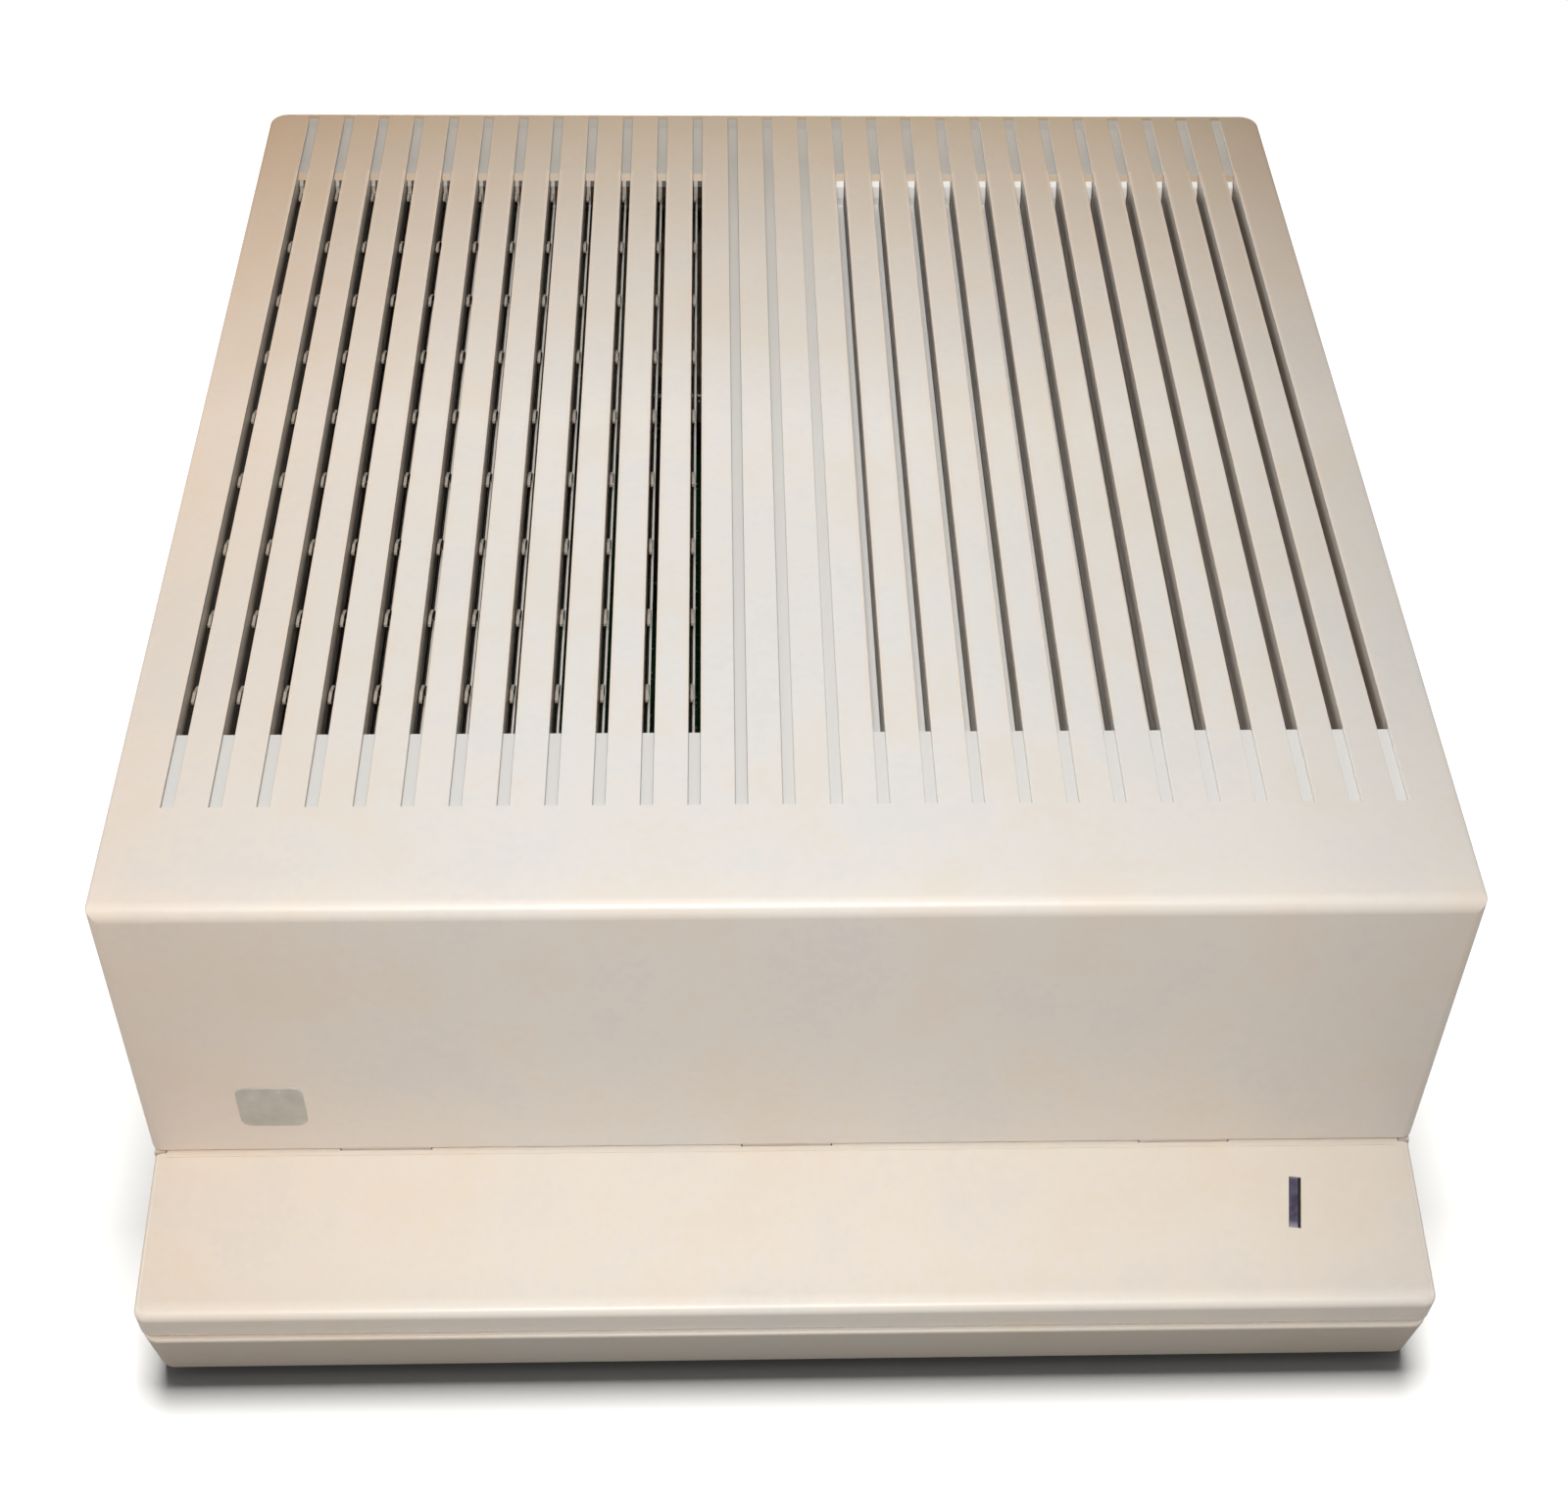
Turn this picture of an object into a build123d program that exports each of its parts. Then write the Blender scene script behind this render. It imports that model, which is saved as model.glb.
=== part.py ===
from build123d import *
import os
from math import atan, cos, pi, radians, sin, tan

os.makedirs("parts", exist_ok=True)

# A desktop home computer in millimetres: +Z up, front towards -Y, the origin on the table under the middle.

# --- Case, as a whole: its width and depth follow what it holds, further down ---
case_height = 117.0
foot_height = 3.0  # the rubber feet below the pan
seam_height = 35.3  # the cover's lower edge above the table
seam_gap = 0.4  # between the cover's lower edge and the pan
panel_setback = 39.4  # the foot of the cover's front panel, behind the ledge's nose
piece_gap = 0.3  # between neighbouring shells
sheet_gap = 0.1  # between a sheet or board and what it stands in

# --- Top cover ---
cover_wall = 3.2
cover_roof = 3.8
panel_overhang = 2.0  # the front panel's top edge, in front of its foot
cover_front_corner_r = 2.5
cover_rear_corner_r = 5.0
cover_front_edge_r = 3.4
cover_edge_r = 1.2
cover_hem_r = 0.8
rear_lip_height = 16.0

groove_count = 27
groove_pitch = 10.0
plain_groove_count = 3  # the grooves in the middle, which have no slot
groove_width = 2.6
groove_depth = 0.9
groove_edge_r = 0.35
groove_front_margin = 28.4  # from the front panel's foot
groove_rear_margin = 2.0  # from the cover's rear edge
groove_ramp = 4.6
slot_front_margin = 50.3
slot_rear_margin = 31.0
slot_depth = 9.0
slot_ramp = 3.6  # how far the rear end leans
slot_shoulder = 2.7  # how far it leans by the roof's underside
slot_wall = 1.0
slot_floor = 1.2
strip_width = 0.9  # the floor strip of an open slot
strip_inset = 0.35  # from the slot's left wall
bridge_pitch = 25.67  # the bridges that hold the floor strip
bridge_rear_margin = 7.3  # from the slot's rear end to the last bridge's front edge
bridge_drop = 1.0  # its flat top, below the roof's underside
bridge_width = 1.0  # out from the slot's left wall
bridge_flat = 3.2
bridge_bend = 7.0  # from its front edge to where its top turns down to the strip
bridge_fall = 1.6  # how far its top has fallen by then
bridge_length = 9.5
bridge_thickness = 0.7

badge_width = 14.7
badge_height = 13.6
badge_thickness = 0.8
badge_recess = 0.5
badge_r = 2.4
badge_side_margin = 21.6  # from the cover's left side
badge_rise = 9.7  # above the seam

tab_inset = 52.25  # the outer hooks, from the cover's sides
tab_width = 20.0
tab_thickness = 2.5
tab_drop = 6.3
hook_height = 2.0
hook_reach = 5.3

# --- Cover latches ---
latch_inset = 47.25  # from the cover's sides
latch_width = 16.0
latch_thickness = 2.4
latch_length = 24.0
latch_pivot_drop = 8.0  # below the cover's top
latch_pin_r = 1.2
latch_pin_reach = 2.6
latch_boss_r = 2.2
latch_side_gap = 0.3
pin_clearance = 0.05
lug_width = 3.5
nose_width = 10.0
nose_height = 2.0
nose_rise = 15.5  # the nose above the latch's lower end
nose_gap = 0.8  # in front of the nose, so that it lifts clear of the wall
catch_depth = 1.0

# --- Pan ---
pan_wall = 2.5
pan_floor = 2.5
pan_inset = 0.55  # its sides stand inside the cover's
tub_top = 19.5  # top of the leaning lower part
tub_step = 0.7  # how far the lower part stands in at the sides
tub_side_lean = 0.8
tub_front_lean = 3.7
tub_corner_r = 3.5
tub_edge_r = 0.6
tub_rear_margin = 1.0
rear_recess = 7.0  # the rear wall, in from the cover's rear edge
rear_wall = 3.0
rear_sill_height = 11.5
rear_wall_top = 103.0
rear_wall_side_gap = 0.7

foot_r = 7.0
foot_plug = 1.0
foot_plug_gap = 0.2
foot_edge_r = 0.8
foot_inset = 30.25  # from the case's sides
foot_front_margin = 16.0
foot_rear_margin = 19.0

vent_width = 3.0
vent_end_r = 1.45
vent_pitch = 8.0
floor_vent_length = 40.0
floor_vent_margin = 18.0  # behind the board's front edge
floor_vent_count = 15
supply_vent_count = 4
supply_floor_vent_length = 60.0
supply_floor_vent_margin = 56.0  # behind the supply's front

# --- Front ledge ---
ledge_skin = 2.5
ledge_fall = 6.5  # from its rear edge to the nose
ledge_seam_gap = 0.5
ledge_shelf_thickness = 1.5
ledge_shelf_reach = 2.8  # the shelf under the front panel's edge, behind the panel's face
nose_undercut = 1.2
ledge_corner_r = 3.0
ledge_edge_r = 2.0
ledge_post_r = 3.5
ledge_post_margin = 24.0  # behind the nose
ledge_post_inset = 13.7  # the outer posts, from the ledge's ends
ledge_post_pitch = 83.0  # from an outer post to the next

window_width = 2.5
window_length = 12.4
window_margin = 29.6  # from the ledge's right end
window_setback = 24.3  # the window's middle, behind the nose
window_turn_degrees = 7.8  # its front end is nearer the middle of the ledge
window_recess = 0.15
window_flange = 1.0
window_flange_overhang = 1.25
lamp_width = 5.0
lamp_length = 5.0
lamp_height = 6.0
lamp_corner_r = 1.0

# --- Screws ---
screw_r = 1.5
screw_head_r = 2.8
screw_head_height = 1.6
screw_fit = 0.05
screw_clearance = 0.2
slot_cut = 0.8
post_grip = 9.0

# --- Power supply ---
supply_width = 62.0
supply_height = 66.0
supply_side_gap = 2.2
supply_post_height = 3.0
supply_post_r = 5.0
supply_post_inset_x = 9.0
supply_post_inset_y = 14.0
sheet = 1.0
supply_flange = 8.0
supply_slot_count = 16
supply_slot_pitch = 10.0
supply_slot_width = 3.0
supply_slot_height = 22.0
rivet_r = 1.6
rivet_head_r = 3.0
rivet_head_height = 1.0
rivet_inset = 4.8  # from the supply's front and rear
rivet_low = 16.5
rivet_high = 52.8
supply_board_thickness = 1.6
supply_board_margin = 4.0
supply_standoff = 4.0
supply_standoff_r = 3.0
transformer_width = 34.0
transformer_depth = 38.0
transformer_height = 30.0
transformer_core = 12.0
transformer_core_proud = 2.0
transformer_r = 4.0
capacitor_r = 11.0
capacitor_height = 34.0
capacitor_gap = 4.0
capacitor_post_gap = 5.0  # from the middle of the board's rear screws
can_edge = 0.6
heatsink_post_gap = 9.0  # from the middle of the board's front screws
heatsink_height = 34.0
heatsink_base = 2.5
heatsink_fin = 1.2
heatsink_fin_reach = 7.0
heatsink_fin_count = 6
heatsink_fin_lift = 2.0

inlet_width = 27.0
inlet_height = 19.6
inlet_depth = 18.0
inlet_wall = 1.5
inlet_back = 3.0
inlet_corner = 5.0
inlet_flange = 2.6
inlet_flange_thickness = 2.4
inlet_rise = 18.5  # middle of the inlet above the supply's bottom
inlet_pin_width = 2.0
inlet_pin_height = 4.0
inlet_pin_pitch = 7.0
inlet_pin_offset = 2.0
inlet_pin_reach = 11.0

switch_width = 16.0
switch_height = 24.0
switch_depth = 16.0
switch_wall = 1.8
switch_flange = 2.0
switch_flange_thickness = 2.0
switch_rise = 46.5
rocker_gap = 0.4
rocker_thickness = 6.0
rocker_tilt_degrees = 10.0
rocker_pin_r = 1.5
rocker_pin_reach = 1.2

# --- Logic board ---
board_depth = 284.0
board_thickness = 1.6
board_boss_height = 5.0
board_boss_r = 3.5
board_boss_margin = 6.0
board_supply_gap = 4.0
board_side_gap = 7.2  # to the case's right wall, at its foot
board_front_gap = 12.1  # behind the front panel's foot
board_rear_gap = 2.5
boss_grip = 4.0

slot_count = 7
slot_pitch = 20.32
slot_length = 71.0
slot_body_width = 9.0
slot_height = 11.0
slot_mouth_width = 2.0
slot_mouth_length = 64.0
slot_mouth_depth = 8.0
slot_margin = 14.0  # first connector, from the board's left edge
slot_port_gap = 4.0

memory_slot_length = 60.0
memory_slot_width = 7.0
memory_slot_gap = 16.0

chip_lift = 0.6
chip_height = 3.4
chip_leg = 0.5
chip_leg_inset = 1.0
chip_edge = 0.3
chip_notch_r = 1.2
long_chip_length = 52.0
long_chip_width = 14.0
rom_length = 36.0
rom_pitch = 20.0
rom_count = 2
small_chip_length = 24.0
small_chip_width = 7.0
memory_row_count = 4
memory_column_count = 2
memory_chip_length = 20.0
logic_row_count = 3
logic_column_count = 4
chip_gap_x = 8.0
chip_gap_y = 5.0
custom_size = 30.0
custom_socket_height = 4.6
custom_count = 3
custom_gap = 8.0
custom_rim = 3.0
custom_groove = 0.8
custom_groove_depth = 1.5
custom_sink = 0.2  # the chip below its socket's rim
plug_edge = 0.6
chip_front_margin = 12.0
chip_band_gap = 10.0

battery_r = 7.2
battery_length = 25.0
battery_strap = 0.6
battery_strap_width = 4.0
battery_strap_rise = 3.0  # above the cell's middle
can_r = 3.2
can_height = 10.0
can_count = 6
can_pitch = 10.0

header_pitch = 3.96
header_pin_count = 7
header_depth = 6.0
header_height = 8.0
header_wall = 0.8
header_seat = 2.0
header_margin = 30.0  # behind the board's front edge
plug_height = 10.0
lead_header_width = 7.0
lead_header_depth = 5.0
lead_header_height = 5.0
lead_header_margin = 24.0  # in from the board's sides
lead_header_setback = 1.0
lead_plug_height = 6.0

# --- Ports along the rear edge ---
port_margin = 2.5  # from the board's right edge to the first port
port_end_margin = 7.65  # from the last port to the board's left edge
port_gap = 1.6
port_body_depth = 12.0
port_reach = 5.8  # the shells, behind the shield
modem_contact_count = 8
printer_contact_count = 8
game_contact_count = 9
disk_contact_count = 19
monitor_contact_count = 15
keyboard_contact_count = 4
port_flange_height = 12.5
port_rise = 1.2  # a port's flange above the board
port_flange_thickness = 0.9
port_body_height = 12.2
shell_height = 8.4
shell_wall = 0.6
shell_corner_r = 2.4
shell_lean_degrees = 10
shell_rim_depth = 1.0
port_body_margin = 1.0  # a flanged port's body past its shell, each side
contact_r = 0.5
contact_depth = 4.0
contact_pitch = 2.77
contact_row_gap = 2.84
port_screw_overhang = 2.9
shell_margin = 5.25  # a shell past its end contacts, both sides together
flange_margin = 14.5  # a flange past its shell, both sides together
jack_bore_r = 1.8
jack_width = 12.0
jack_collar_r = 4.0
jack_reach = 2.5
phono_width = 10.0
phono_r = 4.15
phono_bore_r = 1.7
phono_bore_depth = 7.0
phono_reach = 8.0
round_port_width = 14.0
round_port_r = 4.75
round_port_core_r = 3.6
round_port_groove_depth = 5.0
round_port_wall = 1.2
round_port_pin_ring_r = 2.4
round_port_key_width = 1.8
round_port_key_height = 1.2
jack_screw_r = 2.9
jack_screw_length = 5.0
jack_shank_r = 1.3
jack_bore = 1.25
jack_bore_depth = 4.0
shield_thickness = 1.0
shield_height = 27.5
shield_margin = 4.0
port_hole_gap = 0.3
port_window_margin = 2.0

cover_opening_width = 13.0
cover_opening_height = 44.0
cover_opening_rise = 8.0
blank_rim = 1.5
blank_thickness = 1.2
blank_wall = 1.4
blank_depth = 3.5

# --- Speaker ---
speaker_r = 28.5
speaker_lip = 4.5
speaker_flange_thickness = 1.2
speaker_depth = 10.0
speaker_throat_r = 14.0
magnet_r = 14.0
magnet_height = 8.0
cone_thickness = 0.7
cone_hub_r = 6.0
speaker_rim = 2.0
speaker_rim_height = 2.6
speaker_rim_gap = 0.3
speaker_clip_width = 6.0
speaker_clip_reach = 1.6
speaker_clip_thickness = 1.2
speaker_supply_gap = 1.5
speaker_slot_width = 2.5
speaker_slot_pitch = 6.0
speaker_setback = 26.0  # the speaker's middle, behind the front panel's foot
speaker_clip_angles = (90, 210, 330)

# --- Leads ---
harness_r = 3.0
lead_r = 1.1
grommet_rise = 32.0

# --- What the case closes around ---
def flanged_width(contacts):
    # width over the flange of a two-row connector with this many contacts
    return contact_pitch * (contacts // 2) + shell_margin + flange_margin


# name, width along the rear edge, contacts; in order from the right end of the board
port_order = [
    ("headphone_jack", jack_width, 0),
    ("modem_port", round_port_width, modem_contact_count),
    ("printer_port", round_port_width, printer_contact_count),
    ("game_port", flanged_width(game_contact_count), game_contact_count),
    ("disk_port", flanged_width(disk_contact_count), disk_contact_count),
    ("monitor_port", flanged_width(monitor_contact_count), monitor_contact_count),
    ("video_jack", phono_width, 0),
    ("keyboard_port", round_port_width, keyboard_contact_count),
]
flanged_ports = ("game_port", "disk_port", "monitor_port")
round_ports = ("modem_port", "printer_port", "keyboard_port")

port_gaps = (len(port_order) - 1) * port_gap
board_width = port_margin + sum(width for _, width, _ in port_order) + port_gaps + port_end_margin
pan_side = pan_inset + tub_step + tub_side_lean + pan_wall  # the cover's side to the pan's wall at its foot
held_width = supply_side_gap + supply_width + board_supply_gap + board_width + board_side_gap
case_width = 2 * pan_side + held_width
case_depth = panel_setback + board_front_gap + board_depth + board_rear_gap + rear_wall + rear_recess

# --- Places that several pieces share ---
half_width = case_width / 2
nose_y = -case_depth / 2
rear_y = case_depth / 2
panel_y = nose_y + panel_setback
roof_under = case_height - cover_roof
panel_lean = atan(panel_overhang / (case_height - seam_height))

pan_half = half_width - pan_inset
tub_half = pan_half - tub_step
tub_rear_y = rear_y - tub_rear_margin
floor_z = foot_height + pan_floor
rim_z = seam_height - seam_gap
rear_face_y = rear_y - rear_recess
rear_inner_y = rear_face_y - rear_wall

ledge_top = rim_z + seam_gap - piece_gap
ledge_rear_y = panel_y - piece_gap
ledge_bottom = tub_top + ledge_seam_gap
ledge_slope = atan(ledge_fall / (ledge_rear_y - nose_y))

slot_front = panel_y + slot_front_margin
slot_rear = rear_y - slot_rear_margin
slot_floor_z = case_height - slot_depth
slot_under = slot_floor_z - slot_floor

latch_pivot_z = case_height - latch_pivot_drop
latch_pivot_y = rear_y - cover_wall + piece_gap
latch_xs = (latch_inset - half_width, half_width - latch_inset)
latch_outer_y = rear_y - piece_gap
latch_inner_y = latch_outer_y - latch_thickness

tab_xs = (tab_inset - half_width, 0, half_width - tab_inset)

supply_left = pan_side - half_width + supply_side_gap
supply_right = supply_left + supply_width
supply_rear_y = rear_inner_y - piece_gap
speaker_y = panel_y + speaker_setback
supply_front_y = speaker_y + speaker_r + speaker_rim_gap + speaker_rim + speaker_supply_gap
supply_z = floor_z + supply_post_height
supply_middle = (supply_left + supply_right) / 2
supply_board_z = supply_z + sheet + supply_standoff
supply_parts_z = supply_board_z + supply_board_thickness

board_left = supply_right + board_supply_gap
board_right = board_left + board_width
board_rear_y = rear_inner_y - board_rear_gap
board_front_y = board_rear_y - board_depth
board_z = floor_z + board_boss_height
board_top = board_z + board_thickness

shield_rear_y = rear_inner_y - piece_gap
shield_front_y = shield_rear_y - shield_thickness
port_z = board_top + port_flange_height / 2 + port_rise
port_body_front_y = shield_front_y - port_body_depth

slot_rear_y = port_body_front_y - slot_port_gap
slot_front_y = slot_rear_y - slot_length
slot_xs = [board_left + slot_margin + i * slot_pitch for i in range(slot_count)]

blank_bottom = port_z + port_flange_height / 2 + port_window_margin + cover_opening_rise

header_x = board_left + board_boss_margin + header_depth
header_y = board_front_y + header_margin
lead_header_y = board_front_y + lead_header_depth / 2 + lead_header_setback
chip_left = header_x + header_depth
chip_front = board_front_y + chip_front_margin
processor_y = chip_front + logic_row_count * (small_chip_width + chip_gap_y) + chip_band_gap
custom_y = processor_y + rom_count * rom_pitch + chip_band_gap
memory_x = chip_left + custom_count * (custom_size + custom_gap) + chip_gap_x

speaker_x = supply_left + speaker_r


# --- Shapes that many pieces use ---
def block(low, high):
    low, high = Vector(*low), Vector(*high)
    size = high - low
    return Pos(*((low + high) / 2)) * Box(size.X, size.Y, size.Z)


def rod(start, direction, radius, length):
    return Solid.make_cylinder(radius, length, Plane(origin=start, z_dir=direction))


def prism_x(points, x_low, x_high):
    # a side outline of (y, z) points, drawn out along X
    outline = Polyline(*[(x_low, y, z) for y, z in points], close=True)
    return extrude(make_face(outline), amount=x_high - x_low, dir=(1, 0, 0))


def prism_y(points, y_low, y_high):
    # a front outline of (x, z) points, drawn out along Y
    outline = Polyline(*[(x, y_low, z) for x, z in points], close=True)
    return extrude(make_face(outline), amount=y_high - y_low, dir=(0, 1, 0))


def rounded_slab(low, high, radius):
    width, depth = high[0] - low[0], high[1] - low[1]
    middle = Pos((low[0] + high[0]) / 2, (low[1] + high[1]) / 2, low[2])
    return extrude(middle * RectangleRounded(width, depth, radius), high[2] - low[2])


def rounded_tile(x, z, width, height, radius, y_low, y_high):
    # a rounded rectangle that stands upright, facing along Y
    face = Plane(origin=(x, y_high, z), x_dir=(1, 0, 0), z_dir=(0, -1, 0))
    return extrude(face * RectangleRounded(width, height, radius), y_high - y_low)


def screw(x, y, z, length, up):
    # a slotted pan-head screw, its head's underside at z and its shank upwards or downwards
    way = 1 if up else -1
    shank = rod((x, y, z), (0, 0, way), screw_r, length)
    head = rod((x, y, z), (0, 0, -way), screw_head_r, screw_head_height)
    top = z - way * screw_head_height
    low, high = sorted((top, top + way * slot_cut))
    cut = block((x - screw_head_r, y - slot_cut / 2, low), (x + screw_head_r, y + slot_cut / 2, high))
    return shank + head - cut


def lead(name, points, radius):
    # a round lead along straight runs, with a tangent arc as large as each corner's runs allow
    places = [Vector(*point) for point in points]
    radii = []
    for before, corner, after in zip(places, places[1:], places[2:]):
        shorter = min((corner - before).length, (after - corner).length)
        turn = (corner - before).get_angle(after - corner)
        radii.append(0.45 * shorter / tan(radians(turn) / 2))
    path = FilletPolyline(*places, radius=radii)
    start = Plane(origin=path @ 0, z_dir=path % 0)
    body = sweep(start * Circle(radius), path=path)
    section = pi * radius**2
    print(name, "radii", [round(r, 1) for r in radii], "length", round(path.length, 1))
    print(name, "volume over section times length", round(body.volume / (section * path.length), 4))
    return body


def write(name, shape):
    shape.label = name
    export_step(shape, f"parts/{name}.step")


def write_group(name, shapes):
    write(name, Compound(children=[solid for shape in shapes for solid in shape.solids()]))


# --- Top cover ---
def groove_xs():
    first = -(groove_count - 1) / 2
    return [(first + i) * groove_pitch for i in range(groove_count)]


def slot_columns():
    side = (groove_count - plain_groove_count) // 2
    return groove_xs()[:side], groove_xs()[-side:]


def panel_face_y(z):
    # the front panel leans forward as it rises
    return panel_y - (z - seam_height) * tan(panel_lean)


def cover_outside():
    top_y = panel_face_y(case_height)
    outline = [(panel_y, seam_height), (top_y, case_height), (rear_y, case_height), (rear_y, seam_height)]
    body = prism_x(outline, -half_width, half_width)
    uprights = body.faces().sort_by(Axis.Y)[0].edges().sort_by(Axis.X)
    body = fillet([uprights[0], uprights[-1]], cover_front_corner_r)
    uprights = body.edges().filter_by(Axis.Z).group_by(Axis.Y)
    body = fillet(uprights[-1], cover_rear_corner_r)
    body = fillet(body.faces().sort_by(Axis.Z)[-1].edges(), cover_edge_r)
    body = fillet(body.faces().sort_by(Axis.Z)[0].edges(), cover_hem_r)
    # the long front edge: a round bar that meets both the roof and the leaning panel
    edge_z = case_height - cover_front_edge_r
    edge_y = panel_face_y(edge_z) + cover_front_edge_r / cos(panel_lean)
    low_z = edge_z - cover_front_edge_r * sin(panel_lean)
    corner = block((-half_width - 1, top_y - 1, low_z), (half_width + 1, edge_y, case_height + 1))
    round_bar = rod((-half_width - 2, edge_y, edge_z), (1, 0, 0), cover_front_edge_r, case_width + 4)
    return body - (corner - round_bar)


def groove_cut():
    # the middle groove: straight walls whose top edges round over, with a ramp at each end
    front, rear = panel_y + groove_front_margin, rear_y - groove_rear_margin
    floor = case_height - groove_depth
    outline = [
        (front - groove_depth, case_height),
        (front, floor),
        (rear - groove_ramp, floor),
        (rear, case_height),
        (rear, case_height + 1),
        (front - groove_depth, case_height + 1),
    ]
    half, edge_z = groove_width / 2, case_height - groove_edge_r
    outer = half + groove_edge_r
    wide = block((-outer, front - groove_depth, edge_z), (outer, rear, case_height + 1))
    for side in (-1, 1):
        wide -= rod((side * outer, front - 1, edge_z), (0, 1, 0), groove_edge_r, rear - front + 2)
    body = prism_x(outline, -half, half)
    return body + (wide & prism_x(outline, -outer, outer))


def slot_rear_outline():
    # the rear end leans forward as it goes down
    return [
        (slot_rear, case_height - groove_depth),
        (slot_rear - slot_shoulder, roof_under + piece_gap),
        (slot_rear - slot_ramp, (roof_under + slot_floor_z) / 2),
    ]


def open_slot_cut(x):
    top, shoulder, _ = slot_rear_outline()
    outline = [
        (slot_front, case_height),
        (slot_front, roof_under),
        (shoulder[0], roof_under),
        shoulder,
        top,
        (slot_rear, case_height),
    ]
    return prism_x(outline, x - groove_width / 2, x + groove_width / 2)


def closed_slot_cut(x):
    top, shoulder, lower = slot_rear_outline()
    outline = [
        (slot_front, case_height),
        (slot_front, slot_floor_z),
        (lower[0], slot_floor_z),
        lower,
        shoulder,
        top,
        (slot_rear, case_height),
    ]
    return prism_x(outline, x - groove_width / 2, x + groove_width / 2)


def closed_slot_trough(x):
    reach = groove_width / 2 + slot_wall
    return block((x - reach, slot_front - slot_wall, slot_under), (x + reach, slot_rear, roof_under))


def slot_bridges():
    # leaning plates between the left wall and the floor strip, highest at their front edge
    half = groove_width / 2
    top = roof_under - bridge_drop
    last = slot_rear - bridge_rear_margin
    bridges = []
    for i in range(int((last - slot_front) / bridge_pitch) + 1):
        y = last - i * bridge_pitch
        outline = [
            (y, top - bridge_thickness),
            (y, top),
            (y + bridge_flat, top),
            (y + bridge_bend, top - bridge_fall),
            (y + bridge_length, slot_floor_z),
            (y + bridge_length, slot_under),
            (y + bridge_bend, slot_under),
            (y + bridge_flat, top - bridge_thickness),
        ]
        bridges.append(prism_x(outline, -half - slot_wall / 2, bridge_width - half))
    return bridges


def open_slot_trough():
    # the middle one: its floor is a narrow strip with a gap on each side
    half = groove_width / 2
    whole = closed_slot_trough(0)
    body = whole - closed_slot_cut(0)
    _, _, lower = slot_rear_outline()
    strip_left = strip_inset - half
    for low_x, high_x in ((-half, strip_left), (strip_left + strip_width, half)):
        low = (low_x, slot_front + slot_wall, slot_under - 1)
        body -= block(low, (high_x, lower[0] - slot_wall, slot_floor_z + 1))
    return body + [bridge & whole for bridge in slot_bridges()]


def cover_tab(x):
    # a leg below the front panel, with a hook that reaches forward under the ledge
    leg_y = panel_y + piece_gap
    foot_z = seam_height - tab_drop
    half = tab_width / 2
    leg = block(
        (x - half, leg_y, foot_z), (x + half, leg_y + tab_thickness, seam_height + cover_hem_r * 2)
    )
    hook = block((x - half, panel_y - hook_reach, foot_z), (x + half, leg_y, foot_z + hook_height))
    return leg + hook


def latch_lugs(x):
    # two ears on the rear lip that carry the latch's pins
    half = latch_width / 2 + latch_side_gap
    low_z = latch_pivot_z - latch_boss_r - slot_wall
    ears = []
    for side in (-1, 1):
        low_x, high_x = sorted((x + side * half, x + side * (half + lug_width)))
        front_y = rear_face_y + slot_wall
        ears.append(block((low_x, front_y, low_z), (high_x, rear_y - cover_edge_r, roof_under)))
    return ears


def latch_notch(x):
    half = latch_width / 2 + latch_side_gap
    low = (x - half, rear_y - cover_wall - 1, case_height - rear_lip_height - 1)
    high = (x + half, rear_y + 1, latch_pivot_z + latch_boss_r + piece_gap)
    bore = rod(
        (x - half - latch_pin_reach - piece_gap, latch_pivot_y, latch_pivot_z),
        (1, 0, 0),
        latch_pin_r + pin_clearance,
        2 * (half + latch_pin_reach + piece_gap),
    )
    return block(low, high) + bore


def badge_tile(back, front):
    # the badge's outline on the leaning panel, between two distances out from the panel's face
    x = -half_width + badge_side_margin + badge_width / 2
    z = seam_height + badge_rise + badge_height / 2
    out = (0, -cos(panel_lean), -sin(panel_lean))
    face = Plane(origin=(x, panel_face_y(z), z), x_dir=(1, 0, 0), z_dir=out)
    outline = face * Pos(0, 0, back) * RectangleRounded(badge_width, badge_height, badge_r)
    return extrude(outline, front - back)


def top_cover():
    open_xs, closed_xs = slot_columns()
    inner = half_width - cover_wall
    lip_z = case_height - rear_lip_height
    back_y = rear_y - cover_wall
    outline = [
        (panel_face_y(0) + cover_wall, 0),
        (panel_face_y(roof_under) + cover_wall, roof_under),
        (back_y, roof_under),
        (back_y, 0),
    ]
    cavity = prism_x(outline, -inner, inner)
    doorway = block((-inner, back_y - 1, 0), (inner, rear_y + 1, lip_z))
    body = cover_outside() - [cavity, doorway]
    added = [closed_slot_trough(x) for x in closed_xs]
    added += [Pos(x, 0, 0) * trough_pattern for x in open_xs]
    added += [cover_tab(x) for x in tab_xs]
    for x in latch_xs:
        added += latch_lugs(x)
    body = body + added
    groove = groove_cut()
    cuts = [Pos(x, 0, 0) * groove for x in groove_xs()]
    cuts += [open_slot_cut(x) for x in open_xs]
    cuts += [closed_slot_cut(x) for x in closed_xs]
    cuts += [latch_notch(x) for x in latch_xs]
    cuts.append(badge_tile(-badge_recess, 1))
    return body - cuts


def badge_plate():
    plate = badge_tile(-badge_recess, badge_thickness - badge_recess)
    return fillet(plate.faces().sort_by(Axis.Y)[0].edges(), badge_thickness / 3)


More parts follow.
